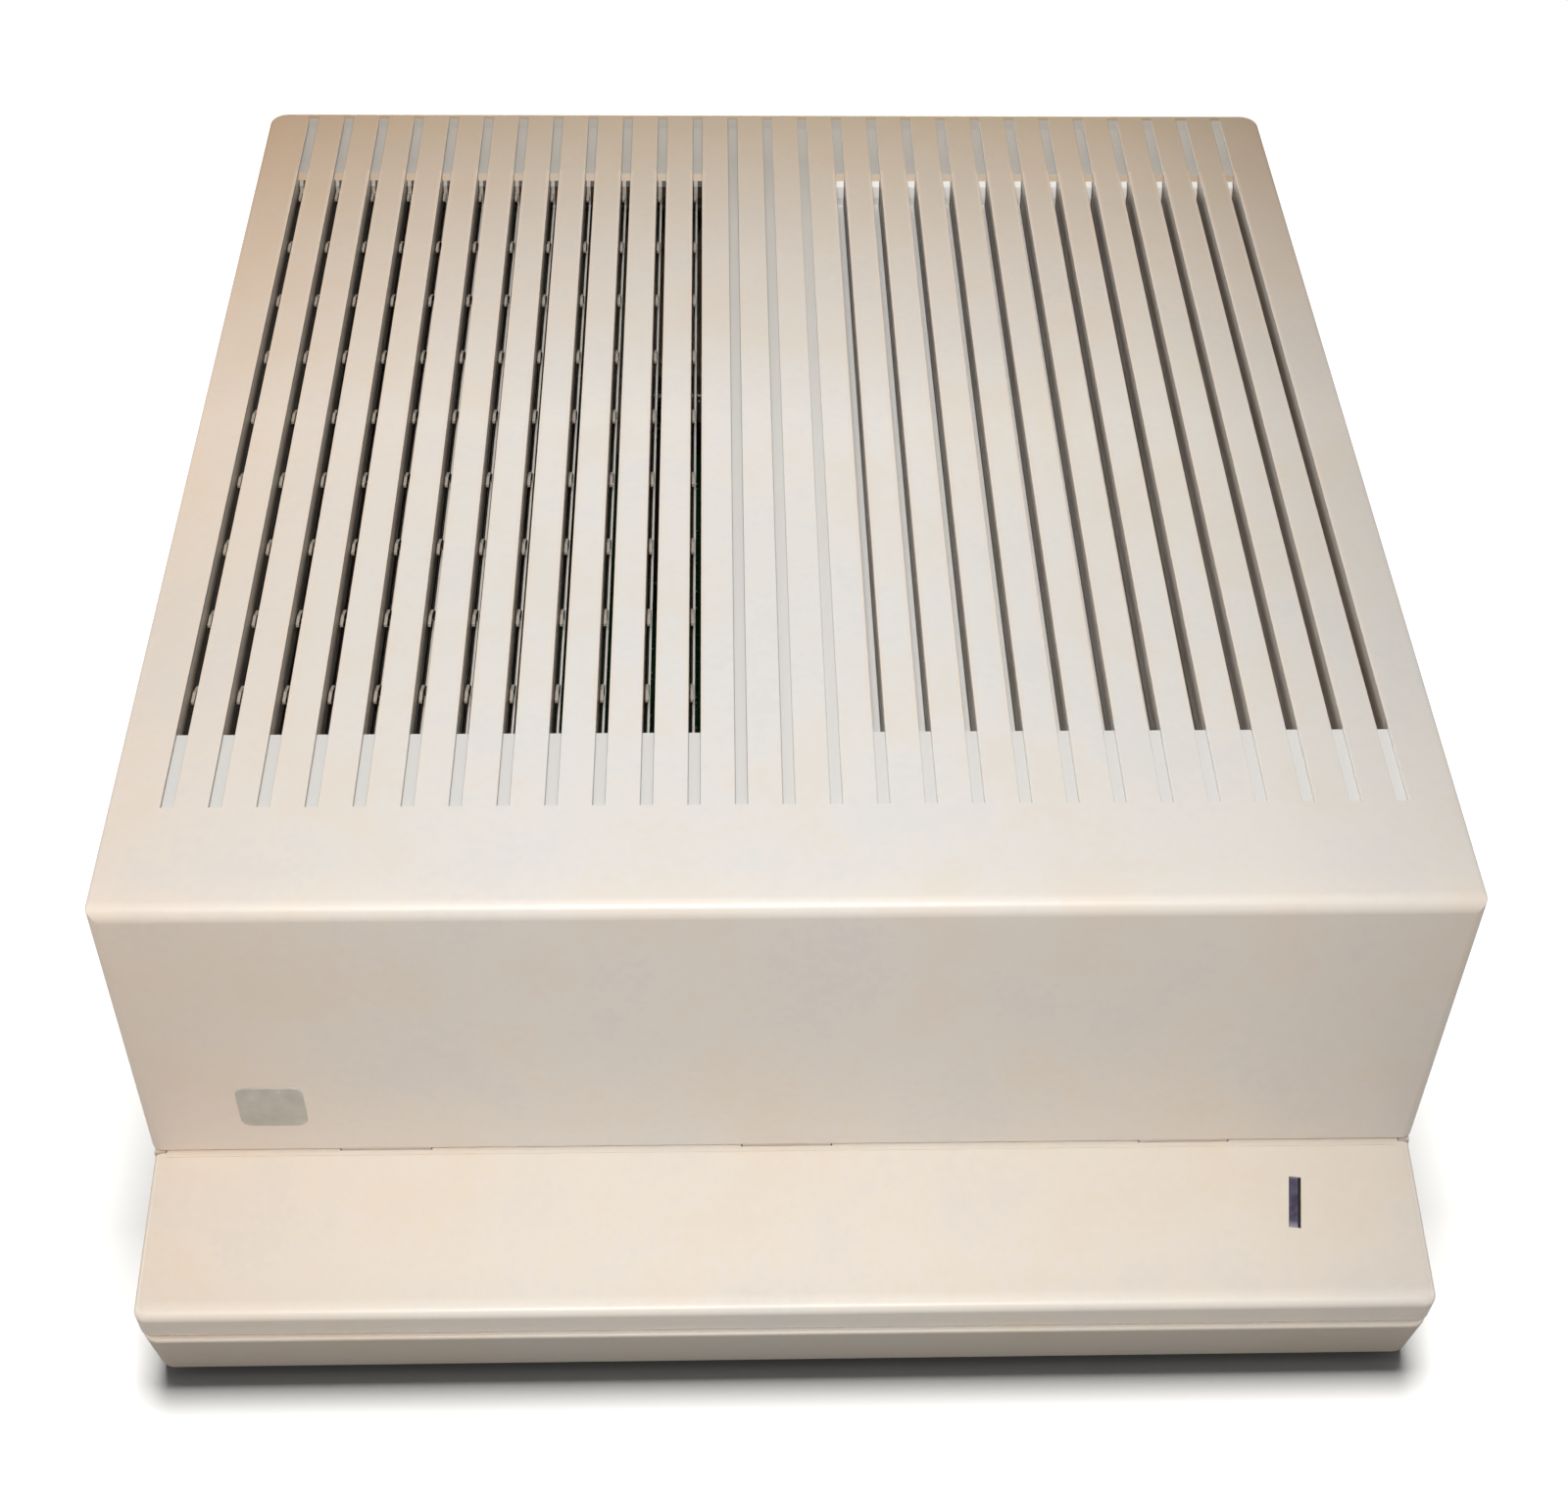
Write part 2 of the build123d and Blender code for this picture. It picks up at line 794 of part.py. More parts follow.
def cover_latch(x):
    half = latch_width / 2
    low_z = latch_pivot_z - latch_length
    plate = block((x - half, latch_inner_y, low_z), (x + half, latch_outer_y, latch_pivot_z))
    boss = rod((x - half, latch_pivot_y, latch_pivot_z), (1, 0, 0), latch_boss_r, latch_width)
    pin_half = half + latch_side_gap + latch_pin_reach
    pin = rod((x - pin_half, latch_pivot_y, latch_pivot_z), (1, 0, 0), latch_pin_r, 2 * pin_half)
    nose_z = low_z + nose_rise
    nose_tip = rear_face_y + nose_gap
    nose = block(
        (x - nose_width / 2, nose_tip, nose_z), (x + nose_width / 2, latch_inner_y, nose_z + nose_height)
    )
    grip = rod((x - half, latch_outer_y - 1, low_z + 1), (1, 0, 0), 1, latch_width)
    foot = block((x - half, latch_inner_y, low_z), (x + half, latch_outer_y, low_z + 1))
    return (plate - foot) + grip + boss + pin + nose


# --- Pan ---
def tub_section(z, side, front, rear, corner):
    middle = Pos(0, (front + rear) / 2, z)
    return middle * RectangleRounded(2 * side, rear - front, corner)


def tub_solid(inset, low_z, high_z, rear):
    # the leaning lower part of the pan, drawn in by inset at the sides and the front
    height = tub_top - foot_height
    sections = []
    for z in (low_z, high_z):
        drop = (tub_top - z) / height
        side = tub_half - tub_side_lean * drop - inset
        front = nose_y + tub_front_lean * drop + inset
        sections.append(tub_section(z, side, front, rear, tub_corner_r - inset))
    return loft(sections, ruled=True)


def foot_places():
    x = half_width - foot_inset
    front, rear = nose_y + foot_front_margin, rear_y - foot_rear_margin
    return [(side * x, y) for side in (-1, 1) for y in (front, rear)]


def ledge_posts():
    outer = pan_half - ledge_post_inset
    y = nose_y + ledge_post_margin
    return [(side * x, y) for side in (-1, 1) for x in (outer - ledge_post_pitch, outer)]


def supply_posts():
    xs = (supply_left + supply_post_inset_x, supply_right - supply_post_inset_x)
    ys = (supply_front_y + supply_post_inset_y, supply_rear_y - supply_post_inset_y)
    return [(x, y) for x in xs for y in ys]


def board_posts():
    xs = (board_left + board_boss_margin, board_right - board_boss_margin)
    ys = (
        board_front_y + board_boss_margin,
        slot_front_y - board_boss_margin,
        port_body_front_y - board_boss_margin,
    )
    return [(x, y) for x in xs for y in ys]


def floor_vents():
    vents = []
    first = (board_left + board_right) / 2 - (floor_vent_count - 1) / 2 * vent_pitch
    y = board_front_y + floor_vent_margin
    for i in range(floor_vent_count):
        x = first + i * vent_pitch
        low = (x - vent_width / 2, y, foot_height - 1)
        vents.append(
            rounded_slab(low, (x + vent_width / 2, y + floor_vent_length, floor_z + 1), vent_end_r)
        )
    first = supply_middle - (supply_vent_count - 1) / 2 * vent_pitch
    y = supply_front_y + supply_floor_vent_margin
    for i in range(supply_vent_count):
        x = first + i * vent_pitch
        low = (x - vent_width / 2, y, foot_height - 1)
        high = (x + vent_width / 2, y + supply_floor_vent_length, floor_z + 1)
        vents.append(rounded_slab(low, high, vent_end_r))
    return vents


def speaker_grille():
    # slots across the floor, clipped to a round field under the cone
    field_r = speaker_r - speaker_lip - speaker_slot_width
    field = rod((speaker_x, speaker_y, foot_height - 1), (0, 0, 1), field_r, pan_floor + 2)
    count = int(field_r / speaker_slot_pitch)
    bars = []
    for i in range(-count, count + 1):
        y = speaker_y + i * speaker_slot_pitch
        low = (speaker_x - field_r, y - speaker_slot_width / 2, foot_height - 1)
        high = (speaker_x + field_r, y + speaker_slot_width / 2, floor_z + 1)
        bars.append(block(low, high) & field)
    return bars


def speaker_mount():
    # a round rim with three clips that reach over the speaker's flange
    centre = (speaker_x, speaker_y, floor_z)
    inner_r = speaker_r + speaker_rim_gap
    rim = rod(centre, (0, 0, 1), inner_r + speaker_rim, speaker_rim_height)
    rim -= rod(centre, (0, 0, 1), inner_r, speaker_rim_height)
    clip_z = speaker_flange_thickness + sheet_gap
    for angle in speaker_clip_angles:
        clip = block(
            (inner_r - speaker_clip_reach, -speaker_clip_width / 2, clip_z),
            (inner_r + speaker_rim / 2, speaker_clip_width / 2, clip_z + speaker_clip_thickness),
        )
        rim += Pos(*centre) * Rot(0, 0, angle) * clip
    return rim


def rear_windows():
    # the openings for the ports, the supply's face and the seven expansion covers
    ports_low = board_left - port_window_margin + port_margin
    ports_high = board_right + port_window_margin - port_margin
    windows = [
        block(
            (ports_low, rear_inner_y - 1, port_z - port_flange_height / 2),
            (ports_high, rear_face_y + 1, port_z + port_flange_height / 2 + port_window_margin),
        )
    ]
    margin = 2 * port_window_margin
    windows.append(
        block(
            (supply_left + margin, rear_inner_y - 1, rear_sill_height + piece_gap),
            (supply_right - margin, rear_face_y + 1, supply_z + supply_height - margin),
        )
    )
    for x in slot_xs:
        low = (x - cover_opening_width / 2, rear_inner_y - 1, blank_bottom)
        high = (x + cover_opening_width / 2, rear_face_y + 1, blank_bottom + cover_opening_height)
        windows.append(block(low, high))
    return windows


def catch_pocket(x):
    nose_z = latch_pivot_z - latch_length + nose_rise
    half = nose_width / 2 + piece_gap
    low = (x - half, rear_face_y - catch_depth, nose_z - nose_height / 2)
    return block(low, (x + half, rear_face_y + 1, nose_z + nose_height * 0.7))


def base_pan():
    shell = tub_solid(0, foot_height, tub_top, tub_rear_y)
    shell = fillet(shell.faces().sort_by(Axis.Z)[-1].edges(), tub_edge_r)
    shell = fillet(shell.faces().sort_by(Axis.Z)[0].edges(), tub_edge_r * 2)
    shell -= tub_solid(pan_wall, floor_z, tub_top + 1, rear_inner_y)
    inner = pan_half - pan_wall
    shell -= block((-inner, rear_face_y, rear_sill_height), (inner, rear_y + 1, tub_top + 1))
    for side in (-1, 1):
        low_x, high_x = sorted((side * inner, side * pan_half))
        shell += block((low_x, panel_y, tub_top), (high_x, tub_rear_y - tub_corner_r / 2, rim_z))
    wall_half = half_width - cover_wall - rear_wall_side_gap
    shell += block((-inner, rear_inner_y, rear_sill_height), (inner, rear_face_y, rim_z))
    shell += block((-wall_half, rear_inner_y, rim_z), (wall_half, rear_face_y, rear_wall_top))
    added = [rod((x, y, floor_z), (0, 0, 1), board_boss_r, board_boss_height) for x, y in board_posts()]
    added += [
        rod((x, y, floor_z), (0, 0, 1), supply_post_r, supply_post_height)
        for x, y in supply_posts()
    ]
    added.append(speaker_mount())
    shell = shell + added
    cuts = rear_windows() + floor_vents() + speaker_grille() + [catch_pocket(x) for x in latch_xs]
    for x, y in foot_places():
        cuts.append(rod((x, y, foot_height - 1), (0, 0, 1), foot_r + foot_plug_gap, foot_plug + 1))
    for x, y in ledge_posts():
        cuts.append(rod((x, y, foot_height - 1), (0, 0, 1), screw_r + screw_clearance, pan_floor + 2))
    for x, y in supply_posts():
        length = pan_floor + supply_post_height + 2
        cuts.append(rod((x, y, foot_height - 1), (0, 0, 1), screw_r + screw_clearance, length))
    for x, y in board_posts():
        cuts.append(rod((x, y, board_z), (0, 0, -1), screw_r + screw_fit, boss_grip + sheet_gap))
    return shell - cuts


def rubber_feet():
    feet = []
    for x, y in foot_places():
        pad = rod((x, y, 0), (0, 0, 1), foot_r, foot_height + foot_plug)
        feet.append(fillet(pad.edges().sort_by(Axis.Z)[0], foot_edge_r))
    return feet


# --- Front ledge ---
def ledge_z(y):
    # height of the ledge's sloping top at y
    return ledge_top - tan(ledge_slope) * (ledge_rear_y - y)


def front_ledge():
    outline = [
        (ledge_rear_y, ledge_bottom),
        (ledge_rear_y, ledge_top),
        (nose_y, ledge_z(nose_y)),
        (nose_y + nose_undercut, ledge_bottom),
    ]
    body = prism_x(outline, -pan_half, pan_half)
    nose_edges = body.faces().sort_by(Axis.Y)[0].edges()
    uprights = nose_edges.sort_by(Axis.X)
    body = fillet([uprights[0], uprights[-1]], ledge_corner_r)
    top = body.faces().sort_by(Axis.Z)[-1]
    rear_edge = top.edges().sort_by(Axis.Y)[-1]
    body = fillet([edge for edge in top.edges() if edge != rear_edge], ledge_edge_r)
    skin_drop = ledge_skin / cos(ledge_slope)
    back, front = ledge_rear_y - ledge_skin, nose_y + ledge_skin + nose_undercut
    hollow = [
        (back, ledge_bottom - 1),
        (back, ledge_z(back) - skin_drop),
        (front, ledge_z(front) - skin_drop),
        (front, ledge_bottom - 1),
    ]
    inner = pan_half - ledge_skin
    body -= prism_x(hollow, -inner, inner)
    posts = []
    for x, y in ledge_posts():
        posts.append(rod((x, y, floor_z), (0, 0, 1), ledge_post_r, ledge_z(y) - ledge_skin / 2 - floor_z))
    shelf_half = inner - piece_gap
    shelf_z, shelf_rear_y = ledge_top - ledge_shelf_thickness, panel_y + ledge_shelf_reach
    shelf = block((-shelf_half, ledge_rear_y - 1, shelf_z), (shelf_half, shelf_rear_y, ledge_top))
    body = body + posts + shelf
    cuts = [
        rod((x, y, floor_z - 1), (0, 0, 1), screw_r + screw_fit, post_grip + 2)
        for x, y in ledge_posts()
    ]
    swing = (tab_drop**2 + hook_reach**2) ** 0.5
    half = tab_width / 2 + piece_gap
    slot_top = seam_height - tab_drop + hook_height + piece_gap
    for x in tab_xs:
        low = (x - half, back - 1, seam_height - swing - piece_gap)
        cuts.append(block(low, (x + half, ledge_rear_y + 1, slot_top)))
        # the hook's leg passes through the shelf, behind a lip that closes the seam
        low = (x - half, panel_y, shelf_z - 1)
        cuts.append(block(low, (x + half, shelf_rear_y + 1, ledge_top + 1)))
    width, length = window_width + 2 * sheet_gap, window_length + 2 * sheet_gap
    cuts.append(window_plane() * Box(width, length, 4 * ledge_skin))
    return body - cuts


def window_plane():
    # on the ledge's top at the middle of the window, with its Z square to the slope and its Y along the bar
    y = nose_y + window_setback
    x = pan_half - window_margin + window_width / 2
    turn = radians(window_turn_degrees)
    across = (cos(turn), -sin(turn) * cos(ledge_slope), -sin(turn) * sin(ledge_slope))
    out = (0, -sin(ledge_slope), cos(ledge_slope))
    return Plane(origin=(x, y, ledge_z(y)), x_dir=across, z_dir=out)


def power_light_window():
    place = window_plane()
    top, under = -window_recess, -ledge_skin
    pane = Pos(0, 0, (top + under) / 2) * Box(window_width, window_length, top - under)
    flange_z = under - window_flange / 2
    width, length = window_width + 2 * window_flange_overhang, window_length + 2 * window_flange_overhang
    flange = Pos(0, 0, flange_z) * Box(width, length, window_flange)
    return place * (pane + flange)


def power_lamp():
    place = window_plane()
    top = -ledge_skin - window_flange
    body = Pos(0, 0, top - lamp_height / 2) * Box(lamp_width, lamp_length, lamp_height)
    body = fillet(body.edges().filter_by(Axis.Z), lamp_corner_r)
    return place * body


# --- Power supply ---
def supply_case():
    # bottom, front and rear panels folded from one sheet, inside the cover's sides
    left = supply_left + sheet + sheet_gap
    right = supply_right - sheet - sheet_gap
    top = supply_z + supply_height - sheet - sheet_gap
    body = block((left, supply_front_y, supply_z), (right, supply_rear_y, top))
    body -= block(
        (left - 1, supply_front_y + sheet, supply_z + sheet), (right + 1, supply_rear_y - sheet, top + 1)
    )
    for y_low, y_high in (
        (supply_front_y, supply_front_y + supply_flange),
        (supply_rear_y - supply_flange, supply_rear_y),
    ):
        body += block((left, y_low, supply_z), (left + sheet, y_high, top))
        body += block((right - sheet, y_low, supply_z), (right, y_high, top))
    for x, y in supply_board_posts():
        body += rod((x, y, supply_z), (0, 0, 1), supply_standoff_r, sheet + supply_standoff)
    cuts = []
    for x, y in supply_posts():
        cuts.append(rod((x, y, supply_z - 1), (0, 0, 1), screw_r + screw_fit, sheet + 2))
    for x, y in supply_board_posts():
        cuts.append(
            rod((x, y, supply_z - 1), (0, 0, 1), screw_r + screw_fit, sheet + supply_standoff + 2)
        )
    for x, y, z in rivet_places():
        cuts.append(rod((x - 2 * sheet, y, z), (1, 0, 0), rivet_r, 4 * sheet))
    rear = supply_rear_y - sheet - 1
    inlet_z, switch_z = supply_z + inlet_rise, supply_z + switch_rise
    width, height = inlet_width / 2 + sheet_gap, inlet_height / 2 + sheet_gap
    cuts.append(
        block(
            (supply_middle - width, rear, inlet_z - height),
            (supply_middle + width, supply_rear_y + 1, inlet_z + height),
        )
    )
    width, height = switch_width / 2 + sheet_gap, switch_height / 2 + sheet_gap
    cuts.append(
        block(
            (supply_middle - width, rear, switch_z - height),
            (supply_middle + width, supply_rear_y + 1, switch_z + height),
        )
    )
    x, z = grommet_place()
    cuts.append(rod((x, supply_front_y - 1, z), (0, 1, 0), harness_r + sheet_gap, sheet + 2))
    return body - cuts


def supply_board_posts():
    inset = supply_board_margin + supply_standoff_r
    xs = (supply_left + sheet + inset, supply_right - sheet - inset)
    margin = supply_post_inset_y + supply_post_r + inset
    ys = (supply_front_y + margin, supply_rear_y - margin - inlet_depth)
    return [(x, y) for x in xs for y in ys]


def rivet_places():
    # on both sides, through the cover and the case's flanges
    xs = (supply_left + sheet + sheet_gap / 2, supply_right - sheet - sheet_gap / 2)
    ys = (supply_front_y + rivet_inset, supply_rear_y - rivet_inset)
    zs = (supply_z + rivet_low, supply_z + rivet_high)
    return [(x, y, z) for x in xs for y in ys for z in zs]


def supply_cover():
    top = supply_z + supply_height
    body = block((supply_left, supply_front_y, supply_z), (supply_right, supply_rear_y, top))
    low = (supply_left + sheet, supply_front_y - 1, supply_z - 1)
    body -= block(low, (supply_right - sheet, supply_rear_y + 1, top - sheet))
    cuts = []
    for x, y, z in rivet_places():
        cuts.append(rod((x - 2 * sheet, y, z), (1, 0, 0), rivet_r, 4 * sheet))
    first = (supply_front_y + supply_rear_y) / 2 - (supply_slot_count - 1) / 2 * supply_slot_pitch
    middle_z = supply_z + supply_height / 2
    for i in range(supply_slot_count):
        y = first + i * supply_slot_pitch
        low_y, high_y = y - supply_slot_width / 2, y + supply_slot_width / 2
        low = (supply_right - sheet - 1, low_y, middle_z - supply_slot_height / 2)
        cuts.append(block(low, (supply_right + 1, high_y, middle_z + supply_slot_height / 2)))
        low = (supply_middle - supply_slot_height / 2, low_y, top - sheet - 1)
        cuts.append(block(low, (supply_middle + supply_slot_height / 2, high_y, top + 1)))
    return body - cuts


def supply_rivets():
    rivets = []
    for x, y, z in rivet_places():
        way = -1 if x < supply_middle else 1
        face = supply_left if way < 0 else supply_right
        shank = rod((face, y, z), (-way, 0, 0), rivet_r, 2 * sheet + sheet_gap)
        head = rod((face, y, z), (way, 0, 0), rivet_head_r, rivet_head_height)
        rivets.append(shank + head)
    return rivets


def supply_board():
    low_x = supply_left + sheet + supply_board_margin
    high_x = supply_right - sheet - supply_board_margin
    low_y = supply_front_y + sheet + supply_board_margin
    high_y = supply_rear_y - inlet_depth - 2 * supply_board_margin
    board = block((low_x, low_y, supply_board_z), (high_x, high_y, supply_parts_z))
    holes = [
        rod((x, y, supply_board_z - 1), (0, 0, 1), screw_r + screw_clearance, supply_board_thickness + 2)
        for x, y in supply_board_posts()
    ]
    return board - holes


def capacitor_ys():
    # two cans in a row, forwards from the board's rear screws
    rear = supply_board_posts()[-1][1] - capacitor_post_gap - capacitor_r
    return rear - 2 * capacitor_r - capacitor_gap, rear


def transformer_y():
    return capacitor_ys()[0] - capacitor_r - capacitor_gap - transformer_depth / 2


def supply_transformer():
    x, y = supply_middle, transformer_y()
    half_w, half_d = transformer_width / 2, transformer_depth / 2
    top = supply_parts_z + transformer_height
    proud = transformer_core_proud
    low = (x - half_w, y - half_d, supply_parts_z)
    winding = rounded_slab(low, (x + half_w, y + half_d, top - proud), transformer_r)
    core_half = transformer_core / 2
    low = (x - half_w - proud, y - core_half, supply_parts_z)
    core = block(low, (x + half_w + proud, y + core_half, top))
    return winding + core


def supply_capacitors():
    cans = []
    for y in capacitor_ys():
        can = rod((supply_middle, y, supply_parts_z), (0, 0, 1), capacitor_r, capacitor_height)
        cans.append(chamfer(can.edges().sort_by(Axis.Z)[-1], 2 * can_edge))
    return cans


def supply_heatsinks():
    # two comb-shaped plates that stand on the board, one each side
    sinks = []
    y_high = transformer_y() - transformer_depth / 2 - capacitor_gap
    y_low = supply_board_posts()[0][1] + heatsink_post_gap
    for side in (-1, 1):
        edge = supply_width / 2 - sheet - supply_board_margin - capacitor_gap
        outer = supply_middle + side * edge
        inner = outer - side * heatsink_base
        low_x, high_x = sorted((outer, inner))
        sink = block((low_x, y_low, supply_parts_z), (high_x, y_high, supply_parts_z + heatsink_height))
        pitch = (y_high - y_low - heatsink_fin) / (heatsink_fin_count - 1)
        for i in range(heatsink_fin_count):
            y = y_low + i * pitch
            low_x, high_x = sorted((inner, inner - side * heatsink_fin_reach))
            sink += block(
                (low_x, y, supply_parts_z + heatsink_fin_lift),
                (high_x, y + heatsink_fin, supply_parts_z + heatsink_height),
            )
        sinks.append(sink)
    return sinks


def chamfered_outline(x, z, width, height, corner):
    # a rectangle with its two upper corners cut off
    half_w, half_h = width / 2, height / 2
    return [
        (x - half_w, z - half_h),
        (x + half_w, z - half_h),
        (x + half_w, z + half_h - corner),
        (x + half_w - corner, z + half_h),
        (x - half_w + corner, z + half_h),
        (x - half_w, z + half_h - corner),
    ]


def mains_inlet():
    x, z = supply_middle, supply_z + inlet_rise
    mouth = supply_rear_y + inlet_flange_thickness
    body = block(
        (x - inlet_width / 2, mouth - inlet_depth, z - inlet_height / 2),
        (x + inlet_width / 2, supply_rear_y, z + inlet_height / 2),
    )
    flange_w, flange_h = inlet_width + 2 * inlet_flange, inlet_height + 2 * inlet_flange
    body += rounded_tile(x, z, flange_w, flange_h, inlet_flange, supply_rear_y, mouth)
    cavity = chamfered_outline(
        x, z, inlet_width - 2 * inlet_wall, inlet_height - 2 * inlet_wall, inlet_corner
    )
    body -= prism_y(cavity, mouth - inlet_depth + inlet_back, mouth + 1)
    for low, high in inlet_pin_boxes():
        body -= block((low[0], low[1], low[2]), (high[0], high[1], high[2]))
    return body


def inlet_pin_boxes():
    # three flat blades: two low ones and a higher one in the middle
    z = supply_z + inlet_rise
    back = supply_rear_y + inlet_flange_thickness - inlet_depth
    boxes = []
    for column, rise in ((-1, 0), (0, inlet_pin_offset), (1, 0)):
        x = supply_middle + column * inlet_pin_pitch
        low = (x - inlet_pin_width / 2, back, z + rise - inlet_pin_height / 2)
        boxes.append(
            (
                low,
                (x + inlet_pin_width / 2, back + inlet_back + inlet_pin_reach, low[2] + inlet_pin_height),
            )
        )
    return boxes


def mains_pins():
    return [block(low, high) for low, high in inlet_pin_boxes()]


def rocker_centre():
    return supply_rear_y + switch_flange_thickness - rocker_thickness / 2, supply_z + switch_rise


def switch_frame():
    x, z = supply_middle, supply_z + switch_rise
    face = supply_rear_y + switch_flange_thickness
    body = block(
        (x - switch_width / 2, face - switch_depth, z - switch_height / 2),
        (x + switch_width / 2, supply_rear_y, z + switch_height / 2),
    )
    body += rounded_tile(
        x,
        z,
        switch_width + 2 * switch_flange,
        switch_height + 2 * switch_flange,
        switch_flange,
        supply_rear_y,
        face,
    )
    inner_w, inner_h = switch_width / 2 - switch_wall, switch_height / 2 - switch_wall
    body -= block(
        (x - inner_w, face - switch_depth + switch_wall, z - inner_h),
        (x + inner_w, face + 1, z + inner_h),
    )
    y, z = rocker_centre()
    half = inner_w + rocker_pin_reach + piece_gap / 2
    return body - rod((x - half, y, z), (1, 0, 0), rocker_pin_r + pin_clearance, 2 * half)


def power_rocker():
    # a wedge with two faces that lean apart, tilted to its off side
    x = supply_middle
    y, z = rocker_centre()
    half_w = switch_width / 2 - switch_wall - rocker_gap
    half_h = switch_height / 2 - switch_wall - 2 * rocker_gap
    rise = half_h * tan(radians(rocker_tilt_degrees))
    half_t = rocker_thickness / 2
    outline = [
        (y - half_t, z - half_h),
        (y + half_t + rise, z - half_h),
        (y + half_t, z),
        (y + half_t + rise, z + half_h),
        (y - half_t, z + half_h),
    ]
    body = prism_x(outline, x - half_w, x + half_w)
    pin_half = switch_width / 2 - switch_wall + rocker_pin_reach
    body += rod((x - pin_half, y, z), (1, 0, 0), rocker_pin_r, 2 * pin_half)
    return body.rotate(Axis((x, y, z), (1, 0, 0)), -rocker_tilt_degrees)


# --- Logic board ---
def logic_board():
    board = block((board_left, board_front_y, board_z), (board_right, board_rear_y, board_top))
    holes = [
        rod((x, y, board_z - 1), (0, 0, 1), screw_r + screw_clearance, board_thickness + 2)
        for x, y in board_posts()
    ]
    return board - holes


def board_screws():
    screws = [screw(x, y, board_top, board_thickness + boss_grip, False) for x, y in board_posts()]
    length = supply_board_thickness + supply_standoff
    screws += [screw(x, y, supply_parts_z, length, False) for x, y in supply_board_posts()]
    return screws


def pan_screws():
    screws = [screw(x, y, foot_height, pan_floor + post_grip, True) for x, y in ledge_posts()]
    length = pan_floor + supply_post_height + sheet + 1
    screws += [screw(x, y, foot_height, length, True) for x, y in supply_posts()]
    return screws


def edge_connector(x, y_low, length, width):
    # a long body with a card mouth and a rounded finger of keying at each end
    body = block(
        (x - width / 2, y_low, board_top), (x + width / 2, y_low + length, board_top + slot_height)
    )
    body = chamfer(body.faces().sort_by(Axis.Z)[-1].edges(), plug_edge)
    margin = (slot_length - slot_mouth_length) / 2
    top = board_top + slot_height
    low = (x - slot_mouth_width / 2, y_low + margin, top - slot_mouth_depth)
    return body - block(low, (x + slot_mouth_width / 2, y_low + length - margin, top + 1))


def memory_connector():
    x = slot_xs[-1] + memory_slot_gap
    return edge_connector(x, slot_front_y, memory_slot_length, memory_slot_width)


def chip(x, y, length, width, along_x=True):
    # a chip's body, held clear of the board on two rows of legs
    size_x, size_y = (length, width) if along_x else (width, length)
    low_z = board_top + chip_lift
    body = block((x, y, low_z), (x + size_x, y + size_y, low_z + chip_height))
    body = chamfer(body.faces().sort_by(Axis.Z)[-1].edges(), chip_edge)
    leg_top = low_z + chip_height / 2
    rows = []
    for side in (0, 1):
        if along_x:
            edge = y - chip_leg if side == 0 else y + size_y
            rows.append(
                block(
                    (x + chip_leg_inset, edge, board_top),
                    (x + size_x - chip_leg_inset, edge + chip_leg, leg_top),
                )
            )
        else:
            edge = x - chip_leg if side == 0 else x + size_x
            rows.append(
                block(
                    (edge, y + chip_leg_inset, board_top),
                    (edge + chip_leg, y + size_y - chip_leg_inset, leg_top),
                )
            )
    middle = (x, y + size_y / 2, low_z + chip_height / 2) if along_x else (
        x + size_x / 2, y, low_z + chip_height / 2
    )
    return body + rows - rod(middle, (0, 0, 1), chip_notch_r, chip_height)


def logic_chips():
    chips = []
    for row in range(logic_row_count):
        for column in range(logic_column_count):
            x = chip_left + column * (small_chip_length + chip_gap_x)
            y = chip_front + row * (small_chip_width + chip_gap_y)
            chips.append(chip(x, y, small_chip_length, small_chip_width))
    return chips


def processor():
    return chip(chip_left, processor_y, long_chip_length, long_chip_width)


def rom_chips():
    x = chip_left + long_chip_length + chip_gap_x
    return [chip(x, processor_y + i * rom_pitch, rom_length, long_chip_width) for i in range(rom_count)]


def custom_chips():
    # square chips in square sockets, with a narrow groove between the two
    chips = []
    top = board_top + custom_socket_height
    y_high = custom_y + custom_size
    for i in range(custom_count):
        x = chip_left + i * (custom_size + custom_gap)
        x_high = x + custom_size
        socket = block((x, custom_y, board_top), (x_high, y_high, top))
        socket = chamfer(socket.faces().sort_by(Axis.Z)[-1].edges(), plug_edge)
        rim, inner = custom_rim, custom_rim + custom_groove
        well_z = top - custom_groove_depth
        well = block((x + rim, custom_y + rim, well_z), (x_high - rim, y_high - rim, top + 1))
        low = (x + inner, custom_y + inner, well_z - 1)
        chip_body = block(low, (x_high - inner, y_high - inner, top - custom_sink))
        chips.append(socket - well + chip_body)
    return chips


def memory_chips():
    chips = []
    for row in range(memory_row_count):
        for column in range(memory_column_count):
            x = memory_x + column * (memory_chip_length + chip_gap_x)
            y = custom_y + row * (small_chip_width + chip_gap_y)
            chips.append(chip(x, y, memory_chip_length, small_chip_width))
    return chips


def clock_battery():
    # a cell lying along X between two straps that stand on the board
    x = board_right - 2 * board_boss_margin - battery_length
    y, z = processor_y + battery_r, board_top + battery_r
    cell = rod((x, y, z), (1, 0, 0), battery_r, battery_length)
    for end_x in (x - battery_strap, x + battery_length):
        low = (end_x, y - battery_strap_width / 2, board_top)
        high = (end_x + battery_strap, y + battery_strap_width / 2, z + battery_strap_rise)
        cell += block(low, high)
    return cell


def board_capacitors():
    # a row along the board's right edge
    cans = []
    x, first_y = board_right - board_boss_margin, processor_y + 2 * battery_r + chip_band_gap
    for i in range(can_count):
        can = rod((x, first_y + i * can_pitch, board_top), (0, 0, 1), can_r, can_height)
        cans.append(chamfer(can.edges().sort_by(Axis.Z)[-1], can_edge))
    return cans


